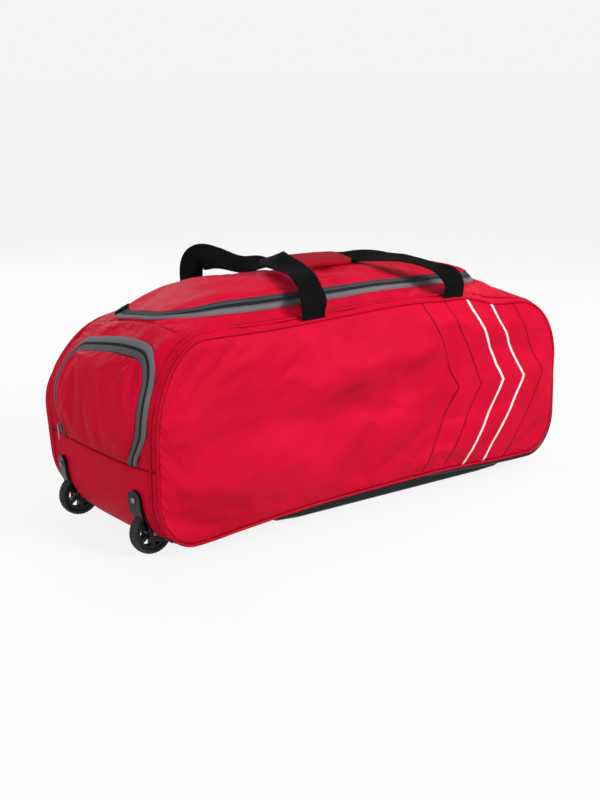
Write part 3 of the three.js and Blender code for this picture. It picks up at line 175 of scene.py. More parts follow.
def rail(k):
    """The side seam's x, z and outward way at place k."""
    k = np.mod(np.asarray(k, float), AROUND)
    out = np.zeros(k.shape + (4,))
    for a, b, start in (("wheel_base", "wheel_top", 0), ("far_top", "far_base", 29)):
        part = (k >= start) & (k < start + 1)
        out[part] = mix(corner(a, 0.0), corner(b, 0.0), (k - start)[part][..., None])
        out[part, 2:] = unit(out[part, 2:])
    bends = (
        ("wheel_top", 1, 7, k - 1), ("far_top", 23, 29, 29 - k),
        ("far_base", 30, 36, k - 30), ("wheel_base", 52, AROUND + 1, AROUND - k),
    )
    for name, start, end, gone in bends:
        part = (k >= start) & (k < end)
        out[part] = corner(name, gone[part] / 6 * QUARTER)
    runs = (("top", 7, k - 7, TOP_RUN, SEAM_TOP, 1), ("base", 36, 52 - k, BASE_RUN, BASE_LIFT, -1))
    for level, start, gone, rows, height, side in runs:
        part = (k >= start) & (k < start + 16)
        share = (gone / 16)[part]
        out[part, 0] = mix(corner(f"wheel_{level}", QUARTER)[0], corner(f"far_{level}", QUARTER)[0], share)
        out[part, 1] = curve(rows, 1, share) * height
        out[part, 3] = side
    return out


def gusset(k, y):
    """A point of the crowned cloth between the side seams, at place k and width y."""
    k, y = np.broadcast_arrays(np.asarray(k, float), np.asarray(y, float))
    s = rail(k)
    x, z, nx, nz = (s[..., i] for i in range(4))
    top = curve(TOP_FORM, 1, x / HALF_LENGTH) * TOP_CROWN * np.maximum(nz, 0) ** 2
    base = BASE_CROWN * np.maximum(-nz, 0) ** 2
    share = 1 - np.abs(np.clip(y / HALF_WIDTH, -1, 1)) ** 3
    crown = (END_CROWN * nx ** 2 + top + base) * share
    return stack(x + nx * crown, y, z + nz * crown)


def gusset_cell(k, y, off):
    """The same point moved out by off, and its outward way."""
    along = gusset(np.asarray(k) + 0.05, y) - gusset(np.asarray(k) - 0.05, y)
    across = gusset(k, np.asarray(y) + 0.5) - gusset(k, np.asarray(y) - 0.5)
    n = unit(np.cross(along, across))
    return gusset(k, y) + n * np.asarray(off)[..., None], n


PLACES = np.linspace(0, AROUND, 2901)
PLACES_RAIL = rail(PLACES)


def place_at(z, parts):
    """The place at height z, in stretches of the outline that each count back by some turn."""
    zs = np.concatenate([PLACES_RAIL[part, 1] for part, _ in parts])
    ks = np.concatenate([PLACES[part] - turn for part, turn in parts])
    order = np.argsort(zs, kind="stable")
    return np.interp(z, zs[order], ks[order])


def wheel_end_place(z):
    return place_at(z, ((PLACES >= 52, AROUND), (PLACES <= 7, 0)))


def far_end_place(z):
    return place_at(z, (((PLACES >= 23) & (PLACES <= 36), 0),))


def top_place(x):
    left, right = corner("wheel_top", QUARTER)[0], corner("far_top", QUARTER)[0]
    return 7 + 16 * (x - left) / (right - left)


def settle(p):
    """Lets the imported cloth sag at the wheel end's back corner, and bulge below."""
    x, y, z = p[..., 0], p[..., 1], p[..., 2]
    place = ease((-x / HALF_LENGTH - 0.45) / 0.45) * ease((y / HALF_WIDTH + 0.5) / 1.5)
    lean = np.sin(np.pi * np.clip((z / SEAM_TOP - 0.35) / 0.65, 0, 1)) ** 2
    sink = ease((z / SEAM_TOP - 0.4) / 0.55)
    belly = ease((-x - 300) / 100) * ease((y - 122) / 40) * np.sin(np.pi * np.clip((z - 50) / 200, 0, 1))
    aside = y + SPREAD * place * lean + BELLY_SIDE * belly
    return stack(x - BELLY_END * belly, aside, z - SLUMP * place * sink)


# Cloth relief
def field(a, b, seed, longest, shortest, count, stretch=1.0):
    """Soft random unevenness made of count waves between two wavelengths."""
    rng = np.random.default_rng(seed)
    total = np.zeros(np.broadcast(a, b).shape)
    weight = 0.0
    for _ in range(count):
        wave = longest * (shortest / longest) ** rng.random()
        turn = rng.random() * 2 * np.pi
        phase = rng.random() * 2 * np.pi
        size = (wave / longest) ** 0.9
        total += size * np.sin(2 * np.pi * (a * np.cos(turn) / stretch + b * np.sin(turn)) / wave + phase)
        weight += size * size / 2
    return total / math.sqrt(weight)


PUCKER_REACH, PUCKER_PITCH = 13.0, 21.0


def pucker(distance, along, seed, height):
    """Short folds that run away from a seam."""
    rng = np.random.default_rng(seed)
    wave = 0
    for i in range(5):
        p = PUCKER_PITCH * (0.6 + 0.35 * i)
        wave = wave + np.sin(2 * np.pi * along / p + rng.random() * 6.28) / (1 + 0.5 * i)
    return height * 0.55 * wave * np.exp(-((distance / PUCKER_REACH) ** 1.4))


def running_length(p):
    return np.cumsum(np.pad(np.linalg.norm(np.diff(p, axis=0), axis=-1), (1, 0)))


# Mesh making
def link_new(name, data):
    ob = bpy.data.objects.new(name, data)
    bpy.context.scene.collection.objects.link(ob)
    return ob


def make(name, verts, faces, material, smooth=True):
    mesh = bpy.data.meshes.new(name)
    mesh.from_pydata([tuple(v) for v in verts], [], [tuple(f) for f in faces])
    mesh.materials.append(material)
    if smooth:
        mesh.polygons.foreach_set("use_smooth", [True] * len(mesh.polygons))
    mesh.update()
    return link_new(name, mesh)


def world(p):
    return (settle(p.reshape(-1, 3)) + SHIFT) / 1000


def bag_piece(name, p, faces, material, smooth=True):
    ob = make(name, world(p), faces, material, smooth)
    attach(ob, "bag")
    return ob


def grid_faces(rows, columns, ring=False, tube=False):
    down, across = rows if ring else rows - 1, columns if tube else columns - 1
    i, j = np.meshgrid(np.arange(down), np.arange(across), indexing="ij")
    a = i * columns + j
    b = ((i + 1) % rows) * columns + j
    c = ((i + 1) % rows) * columns + (j + 1) % columns
    d = i * columns + (j + 1) % columns
    return stack(a, b, c, d).reshape(-1, 4)


BAG_CENTRE = np.array([0, 0, 0.19])


def outward(verts, faces):
    quad = verts[faces]
    n = np.cross(quad[:, 2] - quad[:, 0], quad[:, 3] - quad[:, 1])
    score = np.einsum("ij,ij->i", n, quad.mean(1) - BAG_CENTRE).sum()
    return faces if score > 0 else faces[:, ::-1]


def cloth(name, p, material, ring=False, thick=CLOTH, uv=None):
    faces = outward(world(p), grid_faces(*p.shape[:2], ring))
    ob = bag_piece(name, p, faces, material)
    if uv is not None:
        layer = ob.data.uv_layers.new(name="UVMap")
        loops = np.zeros(len(ob.data.loops), np.int32)
        ob.data.loops.foreach_get("vertex_index", loops)
        layer.data.foreach_set("uv", (uv.reshape(-1, 2)[loops] / 1000).astype(np.float32).ravel())
    wall = ob.modifiers.new("wall", "SOLIDIFY")
    wall.thickness, wall.offset = thick / 1000, 0
    return ob


def tube_faces(rows, sides):
    """Faces of a tube with one polygon over each end."""
    caps = [range(sides)[::-1], range((rows - 1) * sides, rows * sides)]
    return list(grid_faces(rows, sides, False, True)) + caps


def tube(name, path, radius, material, sides=10, closed=False):
    step = np.roll(path, -1, 0) - np.roll(path, 1, 0) if closed else np.gradient(path, axis=0)
    tangent = unit(step)
    side = unit(np.cross(tangent, [0.03, 1.0, 0.02]))
    up = unit(np.cross(side, tangent))
    a = np.linspace(0, 2 * np.pi, sides, endpoint=False)
    ring = np.cos(a)[None, :, None] * side[:, None] + np.sin(a)[None, :, None] * up[:, None]
    faces = grid_faces(len(path), sides, True, True) if closed else tube_faces(len(path), sides)
    return bag_piece(name, path[:, None] + radius * ring, faces, material)


def beads(name, centres, along, out, sizes, material):
    """One mesh of many small rounded bars, such as stitches or zip teeth."""
    along, out = unit(along), unit(out)
    side = unit(np.cross(out, along))
    shape, quads = bar_form()
    local = shape * (np.asarray(sizes) / 2)
    p = centres[:, None] + local[None, :, 0:1] * along[:, None] + local[None, :, 1:2] * side[:, None]
    p = p + local[None, :, 2:3] * out[:, None]
    offset = (np.arange(len(centres)) * len(shape))[:, None, None]
    bag_piece(name, p, (quads[None] + offset).reshape(-1, 4), material)


def bar_form():
    xs = [-1, -0.72, 0.72, 1]
    widths = [0.45, 1, 1, 0.45]
    verts = []
    for x, w in zip(xs, widths):
        for a in range(6):
            t = a / 6 * 2 * math.pi
            verts.append((x, w * math.cos(t), w * math.sin(t)))
    quads = []
    for i in range(3):
        for j in range(6):
            quads.append((i * 6 + j, i * 6 + (j + 1) % 6, (i + 1) * 6 + (j + 1) % 6, (i + 1) * 6 + j))
    for base in (0, 18):
        order = [0, 1, 2, 3] if base else [3, 2, 1, 0]
        quads.append(tuple(base + i for i in order))
        order = [3, 4, 5, 0] if base else [0, 5, 4, 3]
        quads.append(tuple(base + i for i in order))
    return np.array(verts), np.array(quads)


def sample(at, xs, rows):
    """Reads each column of rows, which stand at xs, at other places."""
    return np.stack([np.interp(at, xs, column) for column in rows.T], -1)


STITCH_PITCH, STITCH_LENGTH, STITCH_WIDTH, STITCH_HALF_STEP = 4.2, 3.0, 0.9, 0.8


def stitches(name, path, out, material):
    length = running_length(path)
    at = np.arange(STITCH_PITCH / 2, length[-1], STITCH_PITCH)
    way = sample(at + STITCH_HALF_STEP, length, path) - sample(at - STITCH_HALF_STEP, length, path)
    count = np.arange(len(path))
    outs = sample(np.interp(at, length, count), count, out)
    sizes = (STITCH_LENGTH, STITCH_WIDTH, STITCH_WIDTH * 0.7)
    beads(name, sample(at, length, path), way, outs, sizes, material)


# Materials
def nodes_of(name):
    m = bpy.data.materials.new(name)
    m.use_nodes = True
    return m, m.node_tree, m.node_tree.nodes["Principled BSDF"]


def feed(tree, socket, value):
    if isinstance(value, bpy.types.NodeSocket):
        tree.links.new(value, socket)
    else:
        socket.default_value = value


def put(tree, target, **values):
    """Links or sets a node's inputs by name, with _ for a space."""
    for name, value in values.items():
        feed(tree, target.inputs[name.replace("_", " ")], value)


def node(tree, kind, **values):
    n = tree.nodes.new(kind)
    for key, value in values.items():
        setattr(n, key, value)
    return n


def coordinates(tree, kind="Object"):
    return node(tree, "ShaderNodeTexCoord").outputs[kind]


def axes(tree, vector):
    split = node(tree, "ShaderNodeSeparateXYZ")
    put(tree, split, Vector=vector)
    return split.outputs


def math_node(tree, operation, a, b=0.0, clamp=False):
    n = node(tree, "ShaderNodeMath", operation=operation, use_clamp=clamp)
    feed(tree, n.inputs[0], a)
    feed(tree, n.inputs[1], b)
    return n.outputs[0]


def scaled(tree, value, factor, plus):
    return math_node(tree, "ADD", math_node(tree, "MULTIPLY", value, factor), plus)


def apart(tree, a, b):
    return math_node(tree, "ABSOLUTE", math_node(tree, "SUBTRACT", a, b))


def noise(tree, vector, scale, detail, rough=0.5):
    n = node(tree, "ShaderNodeTexNoise")
    put(tree, n, Scale=scale, Detail=detail, Roughness=rough, Vector=vector)
    return n.outputs["Fac"]


def ramp(tree, fac, stops):
    n = node(tree, "ShaderNodeValToRGB")
    while len(n.color_ramp.elements) < len(stops):
        n.color_ramp.elements.new(0.5)
    for element, (at, colour) in zip(n.color_ramp.elements, stops):
        element.position = at
        element.color = (*colour, 1)
    put(tree, n, Fac=fac)
    return n.outputs["Color"]


def blend_colour(tree, fac, a, b, kind="MIX"):
    n = node(tree, "ShaderNodeMix", data_type="RGBA", blend_type=kind)
    for i, value in ((0, fac), (6, a), (7, b)):
        feed(tree, n.inputs[i], (*value, 1) if isinstance(value, tuple) else value)
    return n.outputs[2]


def bump(tree, height, strength, distance):
    n = node(tree, "ShaderNodeBump")
    put(tree, n, Strength=strength, Distance=distance, Height=height)
    return n.outputs[0]


def grey(tone):
    return (tone,) * 3


def weave(tree, place, pitch, twill):
    """Height of crossing threads on every face of a box, or of slanting ribs for a twill."""
    x, y, z = axes(tree, place)
    k = 2 * math.pi / pitch
    flat = math_node(tree, "ADD", x, y)
    if twill:
        cross = math_node(tree, "SINE", math_node(tree, "MULTIPLY", math_node(tree, "ADD", flat, z), k * 0.7))
    else:
        over, under = (math_node(tree, "SINE", math_node(tree, "MULTIPLY", axis, k)) for axis in (flat, z))
        cross = math_node(tree, "MULTIPLY", over, under)
    return scaled(tree, cross, 0.5, 0.5)


WHITE, TONE = (0.86, 0.8, 0.8), (0.2, 0.0, 0.008)
# tip, half width, colour, in metres
CHEVRONS = [
    (0.18, 0.0017, TONE), (0.232, 0.0017, TONE), (0.284, 0.0030, WHITE),
    (0.336, 0.0030, WHITE), (0.388, 0.0017, TONE),
]
CHEVRON_HEIGHT, CHEVRON_SLOPE, CHEVRON_SHARPNESS = 0.186, 0.55, 1800.0


def chevrons(tree, base):
    """A plain print of parallel chevrons that point along the bag."""
    x, z, _ = axes(tree, coordinates(tree, "UV"))
    bent = scaled(tree, apart(tree, z, CHEVRON_HEIGHT), CHEVRON_SLOPE, x)
    for tip, half, tone in CHEVRONS:
        inside = math_node(tree, "SUBTRACT", half, apart(tree, bent, tip))
        base = blend_colour(tree, math_node(tree, "MULTIPLY", inside, CHEVRON_SHARPNESS, True), base, tone)
    return base


def cloth_material(name, colour, dark, light, rough=0.62, pitch=0.0011, depth=0.00012, sheen=0.01,
                   twill=False, gloss=0.07, printed=False):
    m, tree, shader = nodes_of(name)
    place = coordinates(tree)
    threads = weave(tree, place, pitch, twill)
    fine = noise(tree, place, 420.0, 2.0, 0.6)
    base = ramp(tree, noise(tree, place, 9.0, 4.0, 0.6), [(0.3, dark), (0.52, colour), (0.75, light)])
    for fac, low, high, tone in ((threads, 0.0, 1.0, 0.8), (fine, 0.3, 0.7, 0.88)):
        shade = ramp(tree, fac, [(low, grey(tone)), (high, grey(1.0))])
        base = blend_colour(tree, 0.6, base, shade, "MULTIPLY")
    worn = noise(tree, place, 30.0, 5.0, 0.7)
    put(
        tree, shader, Base_Color=chevrons(tree, base) if printed else base,
        Roughness=scaled(tree, worn, 0.16, rough - 0.08),
        Normal=bump(tree, scaled(tree, fine, 0.5, threads), 0.55, depth),
        Sheen_Weight=sheen, Sheen_Roughness=0.45, Sheen_Tint=(*light, 1), Specular_IOR_Level=gloss,
    )
    return m


# colour, its dark and its light patches
RED = ((0.68, 0.0, 0.028), (0.6, 0.0, 0.022), (0.74, 0.001, 0.034))
# The row below is a darker copy of the red cloth: painted shade for the grip wrap, whose top lies in shade.
SHADED_RED = ((0.36, 0.004, 0.016), (0.31, 0.003, 0.012), (0.42, 0.006, 0.022))
PIPING_RED = ((0.56, 0.0, 0.022), (0.5, 0.0, 0.018), (0.62, 0.001, 0.028))
MID_GREY = ((0.11, 0.108, 0.118), (0.09, 0.088, 0.096), (0.135, 0.13, 0.145))
TAPE_GREY = ((0.17, 0.165, 0.18), (0.14, 0.136, 0.15), (0.2, 0.195, 0.215))
DARK_GREY = ((0.06, 0.06, 0.07), (0.048, 0.048, 0.056), (0.078, 0.078, 0.09))
BLACK = ((0.004, 0.004, 0.0045), (0.0025, 0.0025, 0.003), (0.007, 0.007, 0.008))
SOFT_BLACK = ((0.006, 0.006, 0.007), (0.004, 0.004, 0.005), (0.01, 0.01, 0.011))
RED_THREAD = ((0.3, 0.0, 0.012), (0.26, 0.0, 0.01), (0.36, 0.001, 0.016))
BLACK_THREAD = ((0.03, 0.03, 0.033), (0.02, 0.02, 0.022), (0.045, 0.045, 0.05))
# roughness, thread pitch and depth in metres
TAPE_WEAVE, THREAD_WEAVE = (0.75, 0.0016, 0.0002), (0.5, 0.0006, 0.0001)

red = cloth_material("red_cloth", *RED)
red_print = cloth_material("red_printed_cloth", *RED, printed=True)
# Painted shade: a darker copy of the red cloth, used for the grip wrap.
shaded_red = cloth_material("dark_red_cloth", *SHADED_RED)
piping_red = cloth_material("piping_cloth", *PIPING_RED, 0.5, 0.0012)
grey_mid = cloth_material("pocket_tape", *MID_GREY, *TAPE_WEAVE, 0.02, True)
grey_tape = cloth_material("zip_tape", *TAPE_GREY, *TAPE_WEAVE, 0.1, True)
grey_dark = cloth_material("zip_tape_dark", *DARK_GREY, *TAPE_WEAVE, 0.08, True)
webbing = cloth_material("webbing", *BLACK, 0.85, 0.0024, 0.0004, 0.0, True, 0.05)
black_cloth = cloth_material("base_cloth", *SOFT_BLACK, 0.7, 0.0015, 0.0002, 0.02, False, 0.15)
thread_red = cloth_material("thread_red", *RED_THREAD, *THREAD_WEAVE)
thread_black = cloth_material("thread_black", *BLACK_THREAD, *THREAD_WEAVE)


def moulded(name, colour, rough, grain, depth, worn=0.12, metallic=0.0):
    """Plastic, rubber or metal with fine pores and lighter worn edges."""
    m, tree, shader = nodes_of(name)
    place = coordinates(tree)
    patches = noise(tree, place, 22.0, 5.0, 0.65)
    pointed = node(tree, "ShaderNodeNewGeometry").outputs["Pointiness"]
    edge = math_node(tree, "MULTIPLY", math_node(tree, "SUBTRACT", pointed, 0.52), 9.0, True)
    low, high = (tuple(c * share for c in colour) for share in (0.8, 1.25))
    light = tuple(c * 2.4 + 0.02 for c in colour)
    base = ramp(tree, patches, [(0.3, low), (0.7, high)])
    put(
        tree, shader, Base_Color=blend_colour(tree, math_node(tree, "MULTIPLY", edge, worn), base, light),
        Roughness=scaled(tree, patches, 0.2, rough - 0.1), Metallic=metallic, Specular_IOR_Level=0.22,
        Normal=bump(tree, noise(tree, place, grain, 3.0, 0.6), 0.4, depth),
    )
    return m


plastic = moulded("black_plastic", (0.005, 0.005, 0.0055), 0.4, 1500.0, 0.00008)
coil_plastic = moulded("zip_coil", (0.01, 0.01, 0.012), 0.38, 900.0, 0.00003)
rubber = moulded("wheel_rubber", (0.024, 0.024, 0.026), 0.7, 700.0, 0.0002, 0.3)
metal = moulded("plated_steel", (0.2, 0.2, 0.21), 0.4, 300.0, 0.00002, 0.2, 1.0)


def simulate(ob, held, push, frames, cap, spare):
    """Puffs up a panel as cloth. held is 1 at its seams and 0.5 beside them, cap limits how far it moves."""
    rest = np.array([v.co for v in ob.data.vertices])
    trial = link_new("trial", ob.data.copy())
    group = trial.vertex_groups.new(name="held")
    for weight in (1.0, 0.5):
        chosen = [int(i) for i in np.nonzero(held == weight)[0]]
        if chosen:
            group.add(chosen, weight, "REPLACE")
    spring = trial.modifiers.new("cloth", "CLOTH")
    s = spring.settings
    s.quality = 4
    s.mass = 0.25
    s.tension_stiffness = s.compression_stiffness = 25
    s.shear_stiffness, s.bending_stiffness = 12, 0.6
    s.vertex_group_mass = "held"
    s.shrink_min = -spare
    s.use_pressure = True
    s.uniform_pressure_force = push
    s.effector_weights.gravity = 0
    scene = bpy.context.scene
    scene.frame_start, scene.frame_end = 1, frames
    for i in range(1, frames + 1):
        scene.frame_set(i)
    graph = bpy.context.evaluated_depsgraph_get()
    moved = np.array([v.co for v in trial.evaluated_get(graph).data.vertices])
    scene.frame_set(1)
    step = moved - rest
    size = np.linalg.norm(step, axis=1, keepdims=True)
    step *= np.minimum(1, cap / 1000 / np.maximum(size, 1e-9))
    ob.data.vertices.foreach_set("co", (rest + step).astype(np.float32).ravel())
    ob.data.update()
    mesh = trial.data
    bpy.data.objects.remove(trial)
    bpy.data.meshes.remove(mesh)


def edge_hold(rows, columns, ring=False):
    held = np.zeros((rows, columns))
    held[:, 1] = held[:, -2] = 0.5
    if not ring:
        held[1, :] = held[-2, :] = 0.5
        held[0, :] = held[-1, :] = 1
    held[:, 0] = held[:, -1] = 1
    return held.ravel()


# Side panels
def fold_depth(x, z):
    total = 0
    for fx, fz, along, across, turn, depth in SIDE_FOLDS:
        t = math.radians(turn)
        dx, dz = x - fx * HALF_LENGTH, z - fz * SEAM_TOP
        a = (dx * math.cos(t) + dz * math.sin(t)) / (along * HALF_LENGTH)
        b = (dz * math.cos(t) - dx * math.sin(t)) / (across * SEAM_TOP)
        total = total + depth * FOLD_DEPTH * np.exp(-a * a - b * b)
    return total


def side_points(side, columns, rows):
    u = np.linspace(0, 28, columns)[:, None]
    v = np.linspace(0, 1, rows)[None, :]
    top, base = rail(1 + u), rail(AROUND - u)
    x = mix(base[..., 0] - base[..., 2] * SEAM_INSET, top[..., 0] - top[..., 2] * SEAM_INSET, v)
    z = mix(base[..., 1] - base[..., 3] * SEAM_INSET, top[..., 1] - top[..., 3] * SEAM_INSET, v)
    to_end = np.clip((HALF_LENGTH - np.abs(x)) / (0.16 * 2 * HALF_LENGTH), 0, 1)
    swell = np.sin(np.pi * np.clip(v, 0, 1)).clip(0) ** 0.62 * np.sin(to_end * np.pi / 2) ** 0.62
    height = np.abs(top[..., 1] - base[..., 1])
    distance = np.minimum(np.minimum(v, 1 - v) * height, HALF_LENGTH - np.abs(x))
    inner = ease(distance / 45)
    out = SIDE_BULGE * swell - np.minimum(1, swell * 1.5) * fold_depth(x, z)
    seed = 3 if side < 0 else 11
    out = out + inner * 2.6 * field(x, z, seed, 240, 80, 22, 2.2)
    out = out + inner * 0.6 * field(x + 30, z, seed + 1, 70, 28, 20, 1.8)
    out = out + pucker(distance, x + 0.8 * z, seed + 2, 0.95)
    y = side * (HALF_WIDTH + np.maximum(out, -2.0 + 0 * out))
    return stack(x, y + 0 * x, z), stack(x, z)


def name_new(ob, node_name, slot):
    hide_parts(node_name)
    return ob


def pad(ob, name, held, run):
    """Simulates a panel and puts it in its node's place. run is its push, frames, cap and spare cloth."""
    simulate(ob, held, *run)
    name_new(ob, name, "red_cloth")


SIDE_COLUMNS, SIDE_ROWS = 250, 84
for label, side in SIDES:
    p, uv = side_points(side, SIDE_COLUMNS, SIDE_ROWS)
    panel = cloth(f"{label}_side_panel", p, red_print, uv=uv)
    pad(panel, f"{label}_side_panel", edge_hold(SIDE_COLUMNS, SIDE_ROWS), (0.25, 14, 5, 0.006))

# Piping, with a raised welt and a stitched line beside it
SEAM_LINE, SEAM_RIDGE, RIDGE_RADIUS = 18.5, 13.0, 2.1
seam = rail(np.linspace(0, AROUND, 700, endpoint=False))
k = np.linspace(-4, 33, 600)
for label, side in SIDES:
    line = stack(seam[:, 0], np.full(len(seam), side * HALF_WIDTH), seam[:, 1])
    welt = tube(f"{label}_piping", line, PIPING, piping_red, 10, True)
    name_new(welt, f"{label}_piping", "dark_red_cloth")
    path, n = gusset_cell(k, side * (HALF_WIDTH - SEAM_LINE), CLOTH / 2 + 0.25)
    stitches(f"{label}_gusset_stitches", path, n, thread_red)
    ridge, _ = gusset_cell(k, side * (HALF_WIDTH - SEAM_RIDGE), CLOTH / 2 + 0.3)
    tube(f"{label}_seam_ridge", ridge, RIDGE_RADIUS, piping_red)


# Cloth between the side seams
def gusset_relief(k, y, seed, strength):
    s = rail(k)
    along = s[..., 0] - s[..., 1]
    distance = EDGE - np.abs(y)
    out = ease(distance / 40) * strength * field(along, y, seed, 170, 50, 20, 1.5)
    return out + pucker(distance, along, seed + 1, 0.7)


def gusset_panel(name, material, k0, k1, count, wide, strength):
    k = np.linspace(k0, k1, count)[:, None]
    y = np.linspace(-EDGE, EDGE, wide)[None, :]
    off = gusset_relief(k, y, sum(map(ord, name)) % 97, strength)
    ends = ease(np.minimum(k - k0, k1 - k) / 0.5)
    p, _ = gusset_cell(k + 0 * y, y + 0 * k, off * ends)
    return cloth(name, p, material)


END_ROWS, END_COLUMNS = 90, 110
end_place = wheel_end_place(END_SEAM)
for name, start, end in (("wheel_end_panel", end_place + 0.01, 5.99), ("far_end_panel", 24.01, 32.99)):
    panel = gusset_panel(name, red, start, end, END_ROWS, END_COLUMNS, 1.2)
    pad(panel, name, edge_hold(END_ROWS, END_COLUMNS), (0.2, 12, 4, 0.006))
lower = gusset_panel("wheel_end_lower_panel", red, -3.4, end_place - 0.01, 60, 110, 0.5)
base = gusset_panel("base_panel", black_cloth, 33.01, AROUND - 3.41, 150, 60, 0.2)


def cut_wells(ob):
    """Cuts both wheel wells out of a sheet and keeps the result as its mesh."""
    cutters = []
    for _, side in SIDES:
        a = np.linspace(0, math.pi, 49)
        outline = [(WHEEL_X + WELL_RADIUS * math.cos(t), WHEEL_Z + WELL_RADIUS * math.sin(t)) for t in a]
        outline += [(WHEEL_X - WELL_RADIUS, -WHEEL_Z), (WHEEL_X + WELL_RADIUS, -WHEEL_Z)]
        verts = [(x, side * WHEEL_Y + w, z) for w in (-WELL_HALF, WELL_HALF) for x, z in outline]
        n = len(outline)
        faces = [range(n), range(2 * n - 1, n - 1, -1)]
        faces += [(i, i + n, (i + 1) % n + n, (i + 1) % n) for i in range(n)]
        cutter = make("cutter", (np.array(verts) + SHIFT) / 1000, faces, plastic, False)
        cutters.append(cutter)
        m = ob.modifiers.new("well", "BOOLEAN")
        m.operation, m.object, m.solver = "DIFFERENCE", cutter, "EXACT"
    graph = bpy.context.evaluated_depsgraph_get()
    mesh = bpy.data.meshes.new_from_object(ob.evaluated_get(graph))
    ob.modifiers.clear()
    ob.data = mesh
    for cutter in cutters:
        bpy.data.objects.remove(cutter)


cut_wells(lower)
cut_wells(base)
name_new(lower, "wheel_end_lower_panel", "dark_red_cloth")
name_new(base, "base_panel", "dark_cloth")

# Places round the lid: front 0 to 16, far end 20 to 24, back 28 to 44, wheel end 48 to 52, bends between
RING, RIGHT_END, BACK_START, BACK_END = 56.0, 24.0, 28.0, 44.0


def ring_at(place):
    place = np.mod(np.asarray(place, float), RING)
    hx, hy = LID_LENGTH / 2, LID_WIDTH / 2
    ix, iy, jx, jy = hx - LID_CORNER, hy - LID_CORNER, hx - LID_ROUND, hy - LID_ROUND
    out = np.zeros(place.shape + (4,))
    lines = [
        (0, 16, -jx, -hy, ix, -hy, 0, -1), (20, 24, hx, -iy, hx, iy, 1, 0),
        (28, 44, ix, hy, -jx, hy, 0, 1), (48, 52, -hx, jy, -hx, -jy, -1, 0),
    ]
    for a, b, ax, ay, bx, by, mx, my in lines:
        part = (place >= a) & (place < b)
        t = (place[part] - a) / (b - a)
        out[part] = stack(mix(ax, bx, t), mix(ay, by, t), 0 * t + mx, 0 * t + my)
    bends = [
        (16, ix, -iy, -90, LID_CORNER), (24, ix, iy, 0, LID_CORNER),
        (44, -jx, jy, 90, LID_ROUND), (52, -jx, -jy, 180, LID_ROUND),
    ]
    for a, cx, cy, start, bend in bends:
        part = (place >= a) & (place < a + 4)
        t = np.radians(start + 90 * (place[part] - a) / 4)
        c, s = np.cos(t), np.sin(t)
        out[part] = stack(cx + bend * c, cy + bend * s, c, s)
    out[..., 0] += LID_SHIFT
    return out


def lid_riser(x):
    return curve(TOP_FORM, 2, x / HALF_LENGTH) * LID_RISER


def band_at(place, e, off=0.0):
    """A point of the zip band and its outward way, at place round the lid and share e of the way up."""
    s = ring_at(place)
    m = s[..., 2:]
    inset = TAPE / 2 + GAP
    x = s[..., 0] - m[..., 0] * inset
    y = s[..., 1] - m[..., 1] * inset
    rise = lid_riser(x)
    band = np.maximum(ZIP_BAND, rise * 1.02)
    lean = np.sqrt(band ** 2 - rise ** 2)
    z = gusset(top_place(x), y)[..., 2] + rise * e
    p = stack(x - m[..., 0] * lean * e, y - m[..., 1] * lean * e, z)
    n = stack(m[..., 0] * rise / band, m[..., 1] * rise / band, lean / band)
    return p + n * np.asarray(off)[..., None], n


RING_STEPS, SHOULDER_STEPS, LID_STEPS = 448, 22, 40
place = np.linspace(0, RING, RING_STEPS, endpoint=False)[:, None]
outer_at = [0, 16, 18, 20, 24, 26, 28, 44, 46, 48, 52, 54, 56]
turned = 0.72 * EDGE
outer_k = [7, 23, 23.99, 23.99, 23.99, 23.99, 23, 7, 6.01, 6.01, 6.01, 6.01, 7]
outer_y = [-EDGE, -EDGE, -EDGE, -turned, turned, EDGE, EDGE, EDGE, EDGE, turned, -turned, -EDGE, -EDGE]
hole = ring_at(place)
t = np.linspace(0, 1, SHOULDER_STEPS)[None, :]
k = mix(np.interp(place, outer_at, outer_k), top_place(hole[..., 0]), t)
y = mix(np.interp(place, outer_at, outer_y), hole[..., 1], t)
x_here = rail(k)[..., 0]
relief = ease(np.minimum(t, 1 - t) / 0.25) * (1.1 * field(x_here, y, 21, 130, 40, 20, 1.6))
relief = relief + 0.6 * pucker(t * 45, x_here + y, 22, 0.8)
shoulder_points, _ = gusset_cell(k, y, relief * ease((1 - t) / 0.12))
shoulder = cloth("top_shoulder", shoulder_points, red, ring=True)
pad(shoulder, "top_shoulder", edge_hold(RING_STEPS, SHOULDER_STEPS, True), (0.2, 12, 4, 0.008))


# The lid
def lid_height(x, y):
    share = np.clip(2 * y / LID_WIDTH, -1, 1)
    edge = gusset(top_place(x), LID_WIDTH / 2)[..., 2] + lid_riser(x)
    return edge + curve(TOP_FORM, 3, x / HALF_LENGTH) * LID_DOME * (1 - share ** 2)


def lid_points():
    spine = (LID_LENGTH - 0.86 * LID_WIDTH) / 2
    straight = LID_LENGTH / 2 - LID_CORNER
    r = np.linspace(0, 1, LID_STEPS)[None, :] ** 1.15
    edge, _ = band_at(place[:, 0], 1.0)
    m = hole[:, 0, 2:]
    start = edge[:, None] - np.concatenate([m, 0 * m[:, :1]], -1)[:, None] * (TAPE / 2 + GAP)
    along = np.clip(hole[..., 0] - LID_SHIFT, -straight, straight) * spine / straight
    x = mix(start[..., 0], along + LID_SHIFT, r)
    y = mix(start[..., 1], 0, r)
    z = mix(start[..., 2] + CLOTH / 2, lid_height(x, y) + CLOTH / 2, ease(r / 0.3))
    relief = ease(r / 0.2) * (1.3 * field(x, y, 31, 190, 60, 20, 1.8) + 0.3 * field(x, y, 32, 50, 22, 16))
    z = z + relief - 0.8 + pucker(r * 110, x + y, 33, 0.7) * ease(r / 0.02)
    return stack(x, y, z)


